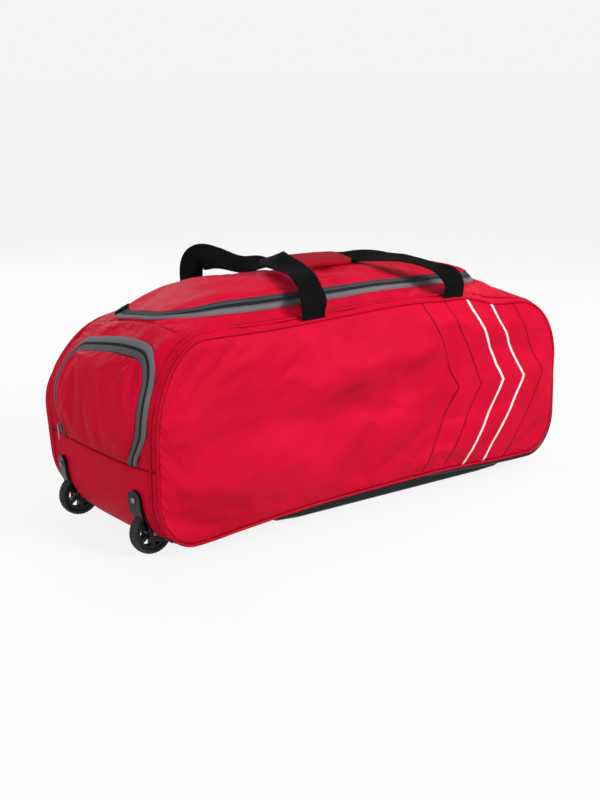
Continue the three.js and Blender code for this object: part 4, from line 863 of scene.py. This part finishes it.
def join_spine(ob):
    """Joins the lid's innermost column along its spine, and gives the column of each vertex that is left."""
    shape = bmesh.new()
    shape.from_mesh(ob.data)
    column = shape.verts.layers.int.new("column")
    for v in shape.verts:
        v[column] = v.index % LID_STEPS
    inner = [v for v in shape.verts if v[column] == LID_STEPS - 1]
    bmesh.ops.remove_doubles(shape, verts=inner, dist=0.0006)
    shape.to_mesh(ob.data)
    shape.free()
    columns = np.array([a.value for a in ob.data.attributes["column"].data])
    ob.data.attributes.remove(ob.data.attributes["column"])
    return columns


lid = cloth("lid_panel", lid_points(), red, ring=True)
columns = join_spine(lid)
pad(lid, "lid_panel", np.select([columns == 0, columns == 1], [1.0, 0.5], 0.0), (0.2, 12, 3, 0.006))


# The main zip
def band_strip(name, material, start, end, e0, e1, thick, off, bow, steps, wave):
    s = np.linspace(start, end, max(int((end - start) * 10), 12))[:, None]
    e = np.linspace(e0, e1, steps)[None, :]
    arch = bow * np.sin(np.pi * (e - e0) / (e1 - e0))
    ripple = wave * field(s * 20, e * 24, 41, 120, 40, 12) * (1 + 0 * s)
    p, _ = band_at(s + 0 * e, e + 0 * s, off + arch + ripple)
    return cloth(name, p, material, thick=thick)


ZIP_FROM, ZIP_TO = BACK_END + 2 - RING, BACK_START - 2
COIL_LOW, COIL_HIGH = 0.47, 0.7
TAB_OFF = COIL / 2 + GAP + TAPE / 2
TOOTH_PITCH, TOOTH_SEAT = 2.6, 0.55
# name, cloth, start, end, low edge, high edge, thickness, height, bow, steps, ripple, slot
ALONG, HINGE = (ZIP_FROM, ZIP_TO), (ZIP_TO + 0.02, ZIP_FROM + RING - 0.02)
TAB = (0.04, 0.96, TAPE, TAB_OFF, 0.6, 8, 0.0)
LID_STRIPS = [
    ("zip_lower_tape", grey_tape, *ALONG, 0.0125, COIL_LOW, TAPE, 0, 0.3, 8, 0.15, "grey_tape"),
    ("zip_upper_tape", grey_dark, *ALONG, COIL_HIGH, 1.0, TAPE, 0, 0.2, 6, 0.1, "grey_tape"),
    ("hinge_strip", red, *HINGE, 0.0125, 1.0, TAPE, 0, 0.8, 10, 0.3, "red_cloth"),
    ("zip_coil", coil_plastic, *ALONG, 0.4825, 0.6875, 1.0, -0.4, 0.0, 8, 0.0, "zip_coil"),
    ("zip_tab_left", webbing, ZIP_FROM - 0.2, ZIP_FROM + 0.7, *TAB, "webbing"),
    ("zip_tab_right", webbing, ZIP_TO - 0.7, ZIP_TO + 0.2, *TAB, "webbing"),
]
for name, *form, slot in LID_STRIPS:
    name_new(band_strip(f"lid_{name}", *form), f"lid_{name}", slot)
for label, e, late in (("lower", 0.555, 0.0), ("upper", 0.615, 1.3)):
    s = np.linspace(ZIP_FROM, ZIP_TO, 900)
    length = running_length(band_at(s, e, TOOTH_SEAT)[0])
    at = np.interp(np.arange(1 + late, length[-1], TOOTH_PITCH), length, s)
    centre, out = band_at(at, e, TOOTH_SEAT)
    ahead, _ = band_at(at, e + 0.05, TOOTH_SEAT)
    beads(f"lid_zip_teeth_{label}", centre, ahead - centre, out, (3.4, 1.5, 1.6), coil_plastic)
for label, e, thread in (("a", 0.1, thread_red), ("b", 0.4, thread_black), ("c", 0.93, thread_black)):
    path, n = band_at(np.linspace(ZIP_FROM + 0.1, ZIP_TO - 0.1, 900), e, TAPE / 2 + 0.3)
    stitches(f"lid_zip_stitches_{label}", path, n, thread)


# End pocket
def arch_path(inset, count=150):
    """The pocket's outline as y and z, from its right foot over the top to its left foot."""
    radius = max(POCKET_CORNER - inset, 6)
    top = POCKET_TOP - inset
    half = POCKET_WIDTH / 2 - inset
    z = np.linspace(POCKET_BOTTOM, top - radius, 60)
    taper = POCKET_NARROW * half * ease((POCKET_BOTTOM + POCKET_TAPER - z) / POCKET_TAPER)
    side = stack(half - taper, z)
    a = np.linspace(0, np.pi / 2, 40)[1:]
    bend = stack(half - radius + radius * np.cos(a), top - radius + radius * np.sin(a))
    right = np.concatenate([side, bend])
    left = right[::-1] * [-1, 1]
    line = np.concatenate([right, left[1:] if abs(right[-1, 0]) < 1e-6 else left])
    length = running_length(line)
    return sample(np.linspace(0, length[-1], count), length, line) + [POCKET_SHIFT, 0]


def end_cell(y, z, off):
    return gusset_cell(wheel_end_place(z), y, off)


POCKET_SEAT = CLOTH + SEAT_GAP
TAPE_SEAT = CLOTH / 2 + SEAT_GAP + TAPE / 2
TEETH_SEAT = TAPE_SEAT + 3.1


def arch_strip(name, material, inset_a, inset_b, off_a, off_b, thick, bow, steps, relief):
    a, b = arch_path(inset_a), arch_path(inset_b)
    t = np.linspace(0, 1, steps)[None, :]
    y = mix(a[:, 0:1], b[:, 0:1], t)
    z = mix(a[:, 1:2], b[:, 1:2], t)
    swell = np.sin(np.pi * t)
    off = mix(TAPE_SEAT + off_a, TAPE_SEAT + off_b, t) + bow * swell
    off = off + relief * field(y, z, 51, 90, 30, 14) * swell
    p, _ = end_cell(y, z, off + 0 * y)
    return cloth(name, p, material, thick=thick)


tape_wide = (POCKET_BAND - COIL) / 2 - GAP
coil_from = tape_wide + GAP
coil_to = coil_from + COIL
# name, cloth, outer inset, inner inset, heights, thickness, bow, steps, relief, slot
POCKET_STRIPS = [
    ("outer_tape", grey_tape, 0, tape_wide, 0, 2, TAPE, 0.9, 10, 0.3, "grey_tape"),
    ("coil", coil_plastic, coil_from, coil_to, 2.0, 2.4, 1.0, 0.0, 4, 0.0, "zip_coil"),
    ("inner_tape", grey_mid, coil_to + GAP, POCKET_BAND, 2.8, 3.4, TAPE, 0.5, 8, 0.2, "grey_tape"),
]
for name, *form, slot in POCKET_STRIPS:
    name_new(arch_strip(f"pocket_zip_{name}", *form), f"pocket_zip_{name}", slot)
for label, share, late in (("outer", 0.2, 0.0), ("inner", 0.8, 1.3)):
    inset = coil_from + share * COIL
    line, line_in = arch_path(inset, 420), arch_path(inset + 2, 420)
    length = running_length(line)
    at = np.arange(1 + late, length[-1], TOOTH_PITCH)
    centre, out = end_cell(*sample(at, length, line).T, TEETH_SEAT)
    inward, _ = end_cell(*sample(at, length, line_in).T, TEETH_SEAT)
    beads(f"pocket_teeth_{label}", centre, inward - centre, out, (2.6, 1.5, 1.5), coil_plastic)
path, n = end_cell(*arch_path(1.6, 420).T, TAPE_SEAT + 1.0)
stitches("pocket_stitches_outer", path, n, thread_red)

FLAP_ROWS, FLAP_COLUMNS = 100, 110


def flap_points():
    edge = arch_path(POCKET_BAND + 2 * GAP, 240)
    right = edge[:len(edge) // 2 + 1]
    low, high = right[0, 1], right[-1, 1]
    zs = np.linspace(0, 1, FLAP_ROWS) ** 0.8 * (high - low) + low
    half = np.interp(zs, np.maximum.accumulate(right[:, 1]), right[:, 0] - POCKET_SHIFT)
    v = np.linspace(-1, 1, FLAP_COLUMNS)[None, :]
    y = POCKET_SHIFT + half[:, None] * v
    z = zs[:, None] + 0 * v
    up = (z - low) / (high - low)
    swell = np.sin(np.pi * np.clip(up, 0, 1)).clip(0) ** 0.6 * (1 - v * v).clip(0) ** 0.5
    crease = 0
    for fy, fz, along, across, depth in POCKET_FOLDS:
        a, b = (up - fz) / along, (v - fy) / across
        crease = crease + depth * FOLD_DEPTH * np.exp(-a * a - b * b)
    seat = POCKET_SEAT + POCKET_RISE * ease(up / 0.15)
    off = seat + POCKET_PUFF * swell - np.minimum(crease, POCKET_RISE) * ease(up / 0.1)
    inner = ease(np.minimum(1 - np.abs(v), np.minimum(up, 1 - up) * 2) / 0.25)
    off = off + inner * (1.1 * field(y, z, 61, 120, 45, 20, 0.9) + 0.25 * field(y, z, 62, 40, 18, 14))
    gap = np.minimum((1 - np.abs(v)) * 100, (1 - up) * 150)
    return end_cell(y, z, off + pucker(gap, y + z, 63, 0.8))[0]


flap = cloth("pocket_flap", flap_points(), red)
pad(flap, "pocket_flap", edge_hold(FLAP_ROWS, FLAP_COLUMNS), (0.2, 12, 3, 0.012))


# Webbing
def cover_top(x, y):
    inside = (np.abs(y) < LID_WIDTH / 2) & (np.abs(x - LID_SHIFT) < LID_LENGTH / 2)
    under = gusset(top_place(x), np.clip(y, -HALF_WIDTH, HALF_WIDTH))[..., 2] + CLOTH / 2
    return np.where(inside, lid_height(x, y) + CLOTH, under)


def wrap_centre(share):
    x = np.asarray(HANDLE_SHIFT + 0.5 + np.asarray(share) * WRAP_LENGTH)
    rest = np.maximum(lid_height(x, WRAP_Y), lid_height(x, WRAP_Y - WRAP_HALF_WIDTH))
    lean = abs(math.sin(WRAP_ROLL)) * WRAP_HALF_WIDTH
    return stack(x, WRAP_Y + 0 * x, rest + CLOTH + GAP + WRAP_HALF_HEIGHT + lean)


def centripetal(points, t):
    """A smooth curve through the points, at shares t of the way along them."""
    ahead = 2 * points[0] - points[1]
    behind = 2 * points[-1] - points[-2]
    p = np.vstack([ahead, points, behind])
    s = t * (len(points) - 1)
    i = np.clip(np.floor(s).astype(int), 0, len(points) - 2)
    w = (s - i)[:, None]
    p0, p1, p2, p3 = (p[i + j] for j in range(4))
    pairs = ((p0, p1), (p1, p2), (p2, p3))
    d0, d1, d2 = (np.linalg.norm(b - a, axis=1, keepdims=True) ** 0.5 for a, b in pairs)
    t1 = ((p1 - p0) / d0 - (p2 - p0) / (d0 + d1) + (p2 - p1) / d1) * d1
    t2 = ((p2 - p1) / d1 - (p3 - p1) / (d1 + d2) + (p3 - p2) / d2) * d1
    return p1 + t1 * w + (-3 * p1 + 3 * p2 - 2 * t1 - t2) * w ** 2 + (2 * p1 - 2 * p2 + t1 + t2) * w ** 3


FINE = 14


def strap_frames(rows, lift):
    """A strap's middle line, its way across and its way out. A number in rows is a place in the wrap."""
    centres, ways = [], []
    for row in rows:
        if isinstance(row, float):
            centres.append(wrap_centre(row) + [0, -math.sin(WRAP_ROLL) * lift, lift])
            ways.append([0, -math.cos(WRAP_ROLL), -math.sin(WRAP_ROLL)])
        else:
            x = HANDLE_SHIFT + row[0] * HANDLE_SPAN / 2
            y = row[1] * HALF_WIDTH
            z = float(cover_top(np.array([x]), np.array([y]))[0]) + row[2] * HANDLE_LIFT
            centres.append([x, y, z])
            ways.append(row[3:])
    centres, ways = np.array(centres, float), np.array(ways, float)
    steps = 2 * (len(rows) - 1)
    at = np.arange(steps + 1)
    w = (ways[at // 2] + ways[(at + 1) // 2]) / 2
    after, before = (centripetal(centres, np.clip(at / steps + d, 0, 1)) for d in (1e-4, -1e-4))
    along = unit(after - before)
    in_wrap = np.array([isinstance(row, float) for row in rows])
    gripped = in_wrap[at // 2] & in_wrap[(at + 1) // 2]
    straightened = w - (w * along).sum(1, keepdims=True) * along
    w = np.where(gripped[:, None], w, straightened)
    for end in (0, -1):
        x, y, _ = centripetal(centres, at / steps)[end]
        rise = cover_top(np.array([x + STRAP_WIDTH / 2, x - STRAP_WIDTH / 2]), np.array([y, y]))
        sign = np.sign(ways[end][0])
        w[end] = [sign, 0, sign * (rise[0] - rise[1]) / STRAP_WIDTH]
    dense = np.linspace(0, 1, steps * FINE // 2 + 1)
    points = centripetal(centres, dense)
    way = sample(dense * steps, at, unit(w))
    kernel = np.hanning(FINE + 3)
    kernel /= kernel.sum()
    padded = np.pad(way, ((len(kernel) // 2,) * 2, (0, 0)), mode="edge")
    smooth = np.stack([np.convolve(padded[:, i], kernel, "valid") for i in range(3)], -1)
    way = unit(mix(way, smooth[:len(way)], ease(np.minimum(dense, 1 - dense) / 0.04)[:, None]))
    return points, way, unit(np.cross(unit(np.gradient(points, axis=0)), way))


def ribbon(name, points, way, out, width, crown, seed):
    """A woven strap with rounded edges and a slight ripple."""
    s = running_length(points)
    half = [(u, 1.0 if abs(u) < 0.95 else 0.35) for u in np.linspace(-1, 1, 11)]
    section = half + [(u, -h) for u, h in reversed(half)]
    rings = []
    for u, h in section:
        bow = crown * (1 - u * u) + 0.25 * np.sin(s / 9.0 + seed) * u
        rings.append(points + way * (u * width / 2) + out * (h * STRAP_THICK / 2 + bow)[:, None])
    ob = bag_piece(name, np.stack(rings, 1), tube_faces(len(points), len(section)), webbing)
    for face in ob.data.polygons[-2:]:
        face.use_smooth = False
    name_new(ob, name, "webbing")


for name, rows, lift, seed in (("front", FRONT_STRAP, 1, 1), ("back", BACK_STRAP, -1, 2)):
    name = f"{name}_handle_strap"
    points, way, out = strap_frames(rows, lift * STRAP_SPREAD)
    ribbon(name, points, way, out, STRAP_WIDTH, 0.5, seed)
    for i, u in enumerate((-0.84, 0.84)):
        line = points + way * (u * STRAP_WIDTH / 2) + out * (STRAP_THICK / 2 + 0.45)
        stitches(f"{name}_stitches_{i}", line, out, thread_black)

WRAP_SIDES = 40


def wrap_ring(share, inset, count=WRAP_SIDES):
    c = wrap_centre(share)
    a = np.linspace(0, 2 * np.pi, count, endpoint=False)
    high = WRAP_HALF_HEIGHT - inset
    flat = WRAP_HALF_WIDTH - inset - high
    flank = np.clip(np.cos(a) * 3, -1, 1)
    u = flank * flat + high * np.cos(a)
    v = high * np.sin(a) * (1 + 0.04 * np.cos(2 * a))
    cr, sr = math.cos(WRAP_ROLL), math.sin(WRAP_ROLL)
    return stack(c[0] + 0 * a, c[1] + u * cr - v * sr, c[2] + u * sr + v * cr)


shares = np.linspace(-0.5, 0.5, 60)
rings = []
for share in shares:
    edge = 1 - 0.06 * math.exp(-((0.5 - abs(share)) / 0.02) ** 2)
    spoke = wrap_ring(share, 0.15) - wrap_centre(share)
    ripple = 0.25 * field(share * WRAP_LENGTH, np.arange(WRAP_SIDES) * 3.4, 81, 60, 20, 12)
    rings.append(wrap_centre(share) + spoke * edge + unit(spoke) * (ripple[:, None] - 0.2))
rings += [wrap_ring(share, 2.5) for share in shares[::-1]]
faces = grid_faces(len(rings), WRAP_SIDES, True, True)
# The wrap wears the darker copy of the red cloth, which is painted shade.
wrap = bag_piece("handle_grip_wrap", np.array(rings), faces, shaded_red)
name_new(wrap, "handle_grip_wrap", "dark_red_cloth")
for i, share in enumerate((-0.46, 0.46)):
    ring = wrap_ring(share, -0.25, 90)
    ring = np.vstack([ring, ring[:1]])
    out = unit(ring - wrap_centre(share))
    stitches(f"wrap_stitches_{i}", ring, out, thread_red)
line = np.array([wrap_ring(s, -0.2)[8] for s in np.linspace(-0.47, 0.47, 60)])
out = np.tile(np.array([0.0, 0.1, 1.0]), (60, 1))
stitches("wrap_seam_stitches", line, out, thread_red)

# Pull handle on the far end
flat = 0.5 * PULL_SPAN
reach = flat + PULL_WIDTH * 0.75
y = np.linspace(-reach, reach, 150)
seat = CLOTH / 2 + SEAT_GAP + STRAP_THICK / 2
stand = seat + PULL_STAND * ease((flat - np.abs(y)) / (0.45 * flat))
low, points, high = (gusset_cell(far_end_place(PULL_HEIGHT + d) + 0 * y, y, stand)[0] for d in (-5, 0, 5))
way = unit(high - low)
out = unit(np.cross(unit(np.gradient(points, axis=0)), way))
out *= np.sign(out[75, 0])
ribbon("end_pull_handle", points, way, out, PULL_WIDTH, 0.3, 5)
for label, side in (("a", -1), ("b", 1)):
    a, b = side * (flat + 3), side * (reach - 3)
    box = np.array([(a, -14), (b, -14), (b, 14), (a, 14), (a, -14), (b, 14), (b, -14), (a, 14)], float)
    length = running_length(box)
    yy, dz = sample(np.linspace(0, length[-1], 160), length, box).T
    line, n = gusset_cell(far_end_place(PULL_HEIGHT + dz), yy, seat + STRAP_THICK / 2 + 0.4)
    stitches(f"pull_box_stitches_{label}", line, n, thread_black)


# Sliders and pullers
def slab(name, centre, across, up, out, sizes, bevel, hole=None):
    """A rounded metal plate, with an eye through it where hole gives its place and radius."""
    wide, tall, deep = (s / 2 for s in sizes)
    r = min(wide, tall) * 0.6
    outline = []
    for side_x, side_y, start in ((1, 1, 0), (-1, 1, 90), (-1, -1, 180), (1, -1, 270)):
        for i in range(7):
            a = math.radians(start + 15 * i)
            outline.append((side_x * (wide - r) + r * math.cos(a), side_y * (tall - r) + r * math.sin(a)))
    n = len(outline)
    eye = []
    if hole:
        hy, hr = hole
        for cx, cy in outline:
            a = math.atan2(cy - hy, cx)
            eye.append((hr * math.cos(a), hy + hr * math.sin(a)))
    verts = [centre + across * ux + up * uy + out * d for d in (-deep, deep) for ux, uy in outline + eye]
    m = n + len(eye)
    faces = []
    for i in range(n):
        j = (i + 1) % n
        faces.append((i, j, m + j, m + i))
        if hole:
            faces.append((n + j, n + i, m + n + i, m + n + j))
            faces.append((j, i, n + i, n + j))
            faces.append((m + i, m + j, m + n + j, m + n + i))
    if not hole:
        faces += [range(n)[::-1], range(m, m + n)]
    ob = bag_piece(name, np.array(verts), faces, metal, False)
    round_edges(ob, bevel, 35)
    return ob


def round_edges(ob, width, angle):
    ob.modifiers.new("joined", "WELD").merge_threshold = 0.00002
    m = ob.modifiers.new("rounded", "BEVEL")
    m.width, m.segments = width / 1000, 3
    m.limit_method, m.angle_limit = "ANGLE", math.radians(angle)
    m.harden_normals = False
    for polygon in ob.data.polygons:
        polygon.use_smooth = True
    ob.modifiers.new("shading", "WEIGHTED_NORMAL").keep_sharp = True


def slider_pair(prefix, centre, up, out, sizes):
    """A zip slider with its bridge, and a puller that hangs from it."""
    way = [unit(v) for v in (np.cross(up, out), up, out)]
    wide, tall, deep = sizes
    body = centre + out * deep / 2
    top = body + out * deep * 0.5
    pull = body + out * (deep / 2 + GAP + 0.8) - up * (13 - tall / 2)
    ob = slab(f"{prefix}_slider", body, *way, (wide, tall, deep * 0.8), 0.8)
    name_new(ob, f"{prefix}_slider", "metal")
    slab(f"{prefix}_slider_bridge", top, *way, (wide * 0.22, tall * 0.7, 1.4), 0.4)
    ob = slab(f"{prefix}_puller", pull, *way, (5.6, 26, 1.5), 0.4, (8.5, 1.4))
    name_new(ob, f"{prefix}_puller", "metal")


at = np.array([RIGHT_END - 0.6])
centre, out = band_at(at, (COIL_LOW + COIL_HIGH) / 2, COIL / 2 + GAP)
up = unit(band_at(at, 1.0)[0] - band_at(at, 0.0)[0])[0]
slider_pair("lid_zip", centre[0], up, out[0], (14, 9, 4))

slider_z = POCKET_BOTTOM + 13
half = POCKET_WIDTH / 2 - (coil_from + COIL / 2)
taper = float(ease(np.array((POCKET_BOTTOM + POCKET_TAPER - slider_z) / POCKET_TAPER)))
slider_y = POCKET_SHIFT + half - POCKET_NARROW * half * taper
heights = np.array([slider_z, slider_z + 5, slider_z - 5])
cells, ns = end_cell(np.full(3, slider_y), heights, np.array([TAPE_SEAT + 3.4 + COIL * 0.4 + GAP, 0, 0]))
slider_pair("pocket", cells[0], unit(cells[1] - cells[2]), ns[0], (9, 13, 4))


# Running gear
def lathe(name, profile, centre, material, body, sides, tread=None):
    """Turns a profile of radius, y and tread share about the wheel's axis."""
    a = np.linspace(0, 2 * np.pi, sides, endpoint=False)[:, None]
    radius, across, share = np.array(profile, float).T
    r = radius + np.zeros((sides, 1))
    if tread is not None:
        r = r + tread(a, across[None, :]) * share
    p = stack(r * np.cos(a), across + 0 * r, r * np.sin(a)) + np.asarray(centre, float)
    ob = make(name, (p.reshape(-1, 3) + SHIFT) / 1000, grid_faces(sides, len(profile), True, True), material)
    middle = Vector((np.asarray(centre) + SHIFT) / 1000)
    far = max(ob.data.polygons, key=lambda f: (Vector(f.center) - middle).length)
    if far.normal.dot(Vector(far.center) - middle) < 0:
        ob.data.flip_normals()
    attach(ob, body)
    return ob


# radius, y, share of the tread
TYRE_HALF = [
    (29.3, -8.5, 0), (31.0, -8.5, 0), (32.6, -8.5, 0), (33.6, -8.3, 0), (34.6, -7.4, 1), (35.2, -5.8, 1),
    (35.6, -4.2, 1), (35.7, -3.0, 1), (34.9, -2.7, 0), (34.9, -2.0, 0), (35.8, -1.7, 1),
]
TYRE = TYRE_HALF + [(35.95, 0, 1)] + [(r, -y, share) for r, y, share in reversed(TYRE_HALF)]
TYRE += [(29.3, 4.0, 0), (29.3, -4.0, 0)]
LIP = [(27.0, 6.1), (27.3, 6.9), (28.4, 7.2), (28.95, 6.6), (28.6, 5.9)]


def tread(a, y):
    return -0.7 * (np.sin(36 * a + 0.22 * np.abs(y)) > 0.55)


for label, side in SIDES:
    centre = (WHEEL_X, side * WHEEL_Y, WHEEL_Z)
    tyre = lathe(f"{label}_wheel_tyre", TYRE, centre, rubber, f"{label}_wheel", 288, tread)
    name_new(tyre, f"{label}_wheel_tyre", "rubber")
    for letter, face in (("a", -1), ("b", 1)):
        lip = [(r, face * y, 0) for r, y in LIP]
        ring = lathe(f"{label}_rim_lip_{letter}", lip, centre, plastic, f"{label}_wheel", 96)

# CAD nodes that are shown themselves: material, width of the rounded edges
SHOWN = [("far_end_guard", plastic, 1.0)]
for label, _ in SIDES:
    SHOWN += [
        (f"{label}_wheel_hub", plastic, 0.5), (f"{label}_wheel_housing", plastic, 0.9),
        (f"{label}_skid_rail", plastic, 1.2), (f"{label}_wheel_axle", metal, 0.6),
        (f"{label}_housing_rivet", metal, 0.2),
    ]
for name, material, width in SHOWN:
    nodes[name].data.materials.clear()
    nodes[name].data.materials.append(material)
    round_edges(nodes[name], width, 28)

# Moulded rim of the far end's guard, just outside each seam
RIM_STEPS, RIM_STAND, RIM_RADIUS = 120, 5.2, 3.3
rim = rail(np.linspace(far_end_place(172.0), far_end_place(60.0) + 9.0, RIM_STEPS))
stand = RIM_STAND * np.sin(np.linspace(0, np.pi, RIM_STEPS)) ** 0.35
for label, side in SIDES:
    y = np.full(RIM_STEPS, side * (HALF_WIDTH - 1.5))
    path = stack(rim[:, 0] + rim[:, 2] * stand, y, rim[:, 1] + rim[:, 3] * stand)
    tube(f"{label}_guard_rim", path, RIM_RADIUS, plastic, 12)

# Floor, light and camera
floor_material, tree, shader = nodes_of("floor")
tone = ramp(tree, noise(tree, coordinates(tree), 2.0, 2.0), [(0.3, grey(0.1)), (0.7, grey(0.107))])
put(
    tree, shader, Base_Color=tone, Roughness=0.9, Specular_IOR_Level=0.1,
    Emission_Color=(1, 1, 1, 1), Emission_Strength=0.85,
)
FLOOR = 40
corners = [(-FLOOR, -FLOOR, 0), (FLOOR, -FLOOR, 0), (FLOOR, FLOOR, 0), (-FLOOR, FLOOR, 0)]
floor = make("floor", corners, [(0, 1, 2, 3)], floor_material, False)
floor.location.z = -0.0004
floor.visible_diffuse = False

# A soft grey sky lights the bag, and the camera sees a pale backdrop in its place
BACKDROP = grey(0.913)
sky = bpy.data.worlds.new("studio")
bpy.context.scene.world = sky
sky.use_nodes = True
tree = sky.node_tree
height = scaled(tree, axes(tree, coordinates(tree, "Generated"))[2], 0.5, 0.5)
tones = [(0.0, grey(0.1)), (0.45, grey(0.25)), (0.56, grey(0.4)), (1.0, grey(0.34))]
seen = node(tree, "ShaderNodeLightPath").outputs["Is Camera Ray"]
shown = blend_colour(tree, seen, ramp(tree, height, tones), BACKDROP)
put(tree, tree.nodes["Background"], Color=shown, Strength=1.0)

# name, place, target, width, height, watts
LIGHTS = [
    ("key", (0.7, -2.6, 1.65), (0.05, 0.0, 0.2), 1.1, 0.8, 84),
    ("side", (-2.7, -0.7, 0.9), (-0.3, 0.0, 0.2), 0.9, 0.9, 28),
    ("top", (0.2, 0.8, 2.6), (0.0, 0.1, 0.3), 1.4, 0.9, 5),
    ("back", (0.3, 2.7, 1.5), (0.0, 0.0, 0.2), 1.2, 0.9, 24),
    ("far", (2.6, 0.3, 1.2), (0.3, 0.0, 0.2), 0.9, 0.9, 12),
]
for name, place, target, wide, tall, power in LIGHTS:
    data = bpy.data.lights.new(name, "AREA")
    data.shape, data.size, data.size_y, data.energy = "RECTANGLE", wide, tall, power
    light = link_new(name, data)
    light.location = place
    light.rotation_euler = (Vector(target) - Vector(place)).to_track_quat("-Z", "Y").to_euler()

# The photograph's camera: focal length in its pixels, place in the part's own frame
FOCAL, TALL, PITCH, YAW = 1313.18, 800, 14.595, 52.549
camera_data = bpy.data.cameras.new("camera")
camera = bpy.context.scene.camera = link_new("camera", camera_data)
camera_data.sensor_width = 36
camera_data.lens = FOCAL * 36 / TALL
camera_data.dof.use_dof = False
pitch, yaw = math.radians(PITCH), math.radians(YAW)
forward = Vector((math.cos(yaw) * math.cos(pitch), math.sin(yaw) * math.cos(pitch), -math.sin(pitch)))
right = Vector((math.sin(yaw), -math.cos(yaw), 0))
above = right.cross(forward)
place = (Vector((-1396.4, -1772.6, 742.8)) + Vector(SHIFT)) / 1000
turn = Matrix((right, above, -forward)).transposed().to_4x4()
camera.matrix_world = Matrix.Translation(place) @ turn
bpy.context.scene.view_settings.view_transform = "Standard"
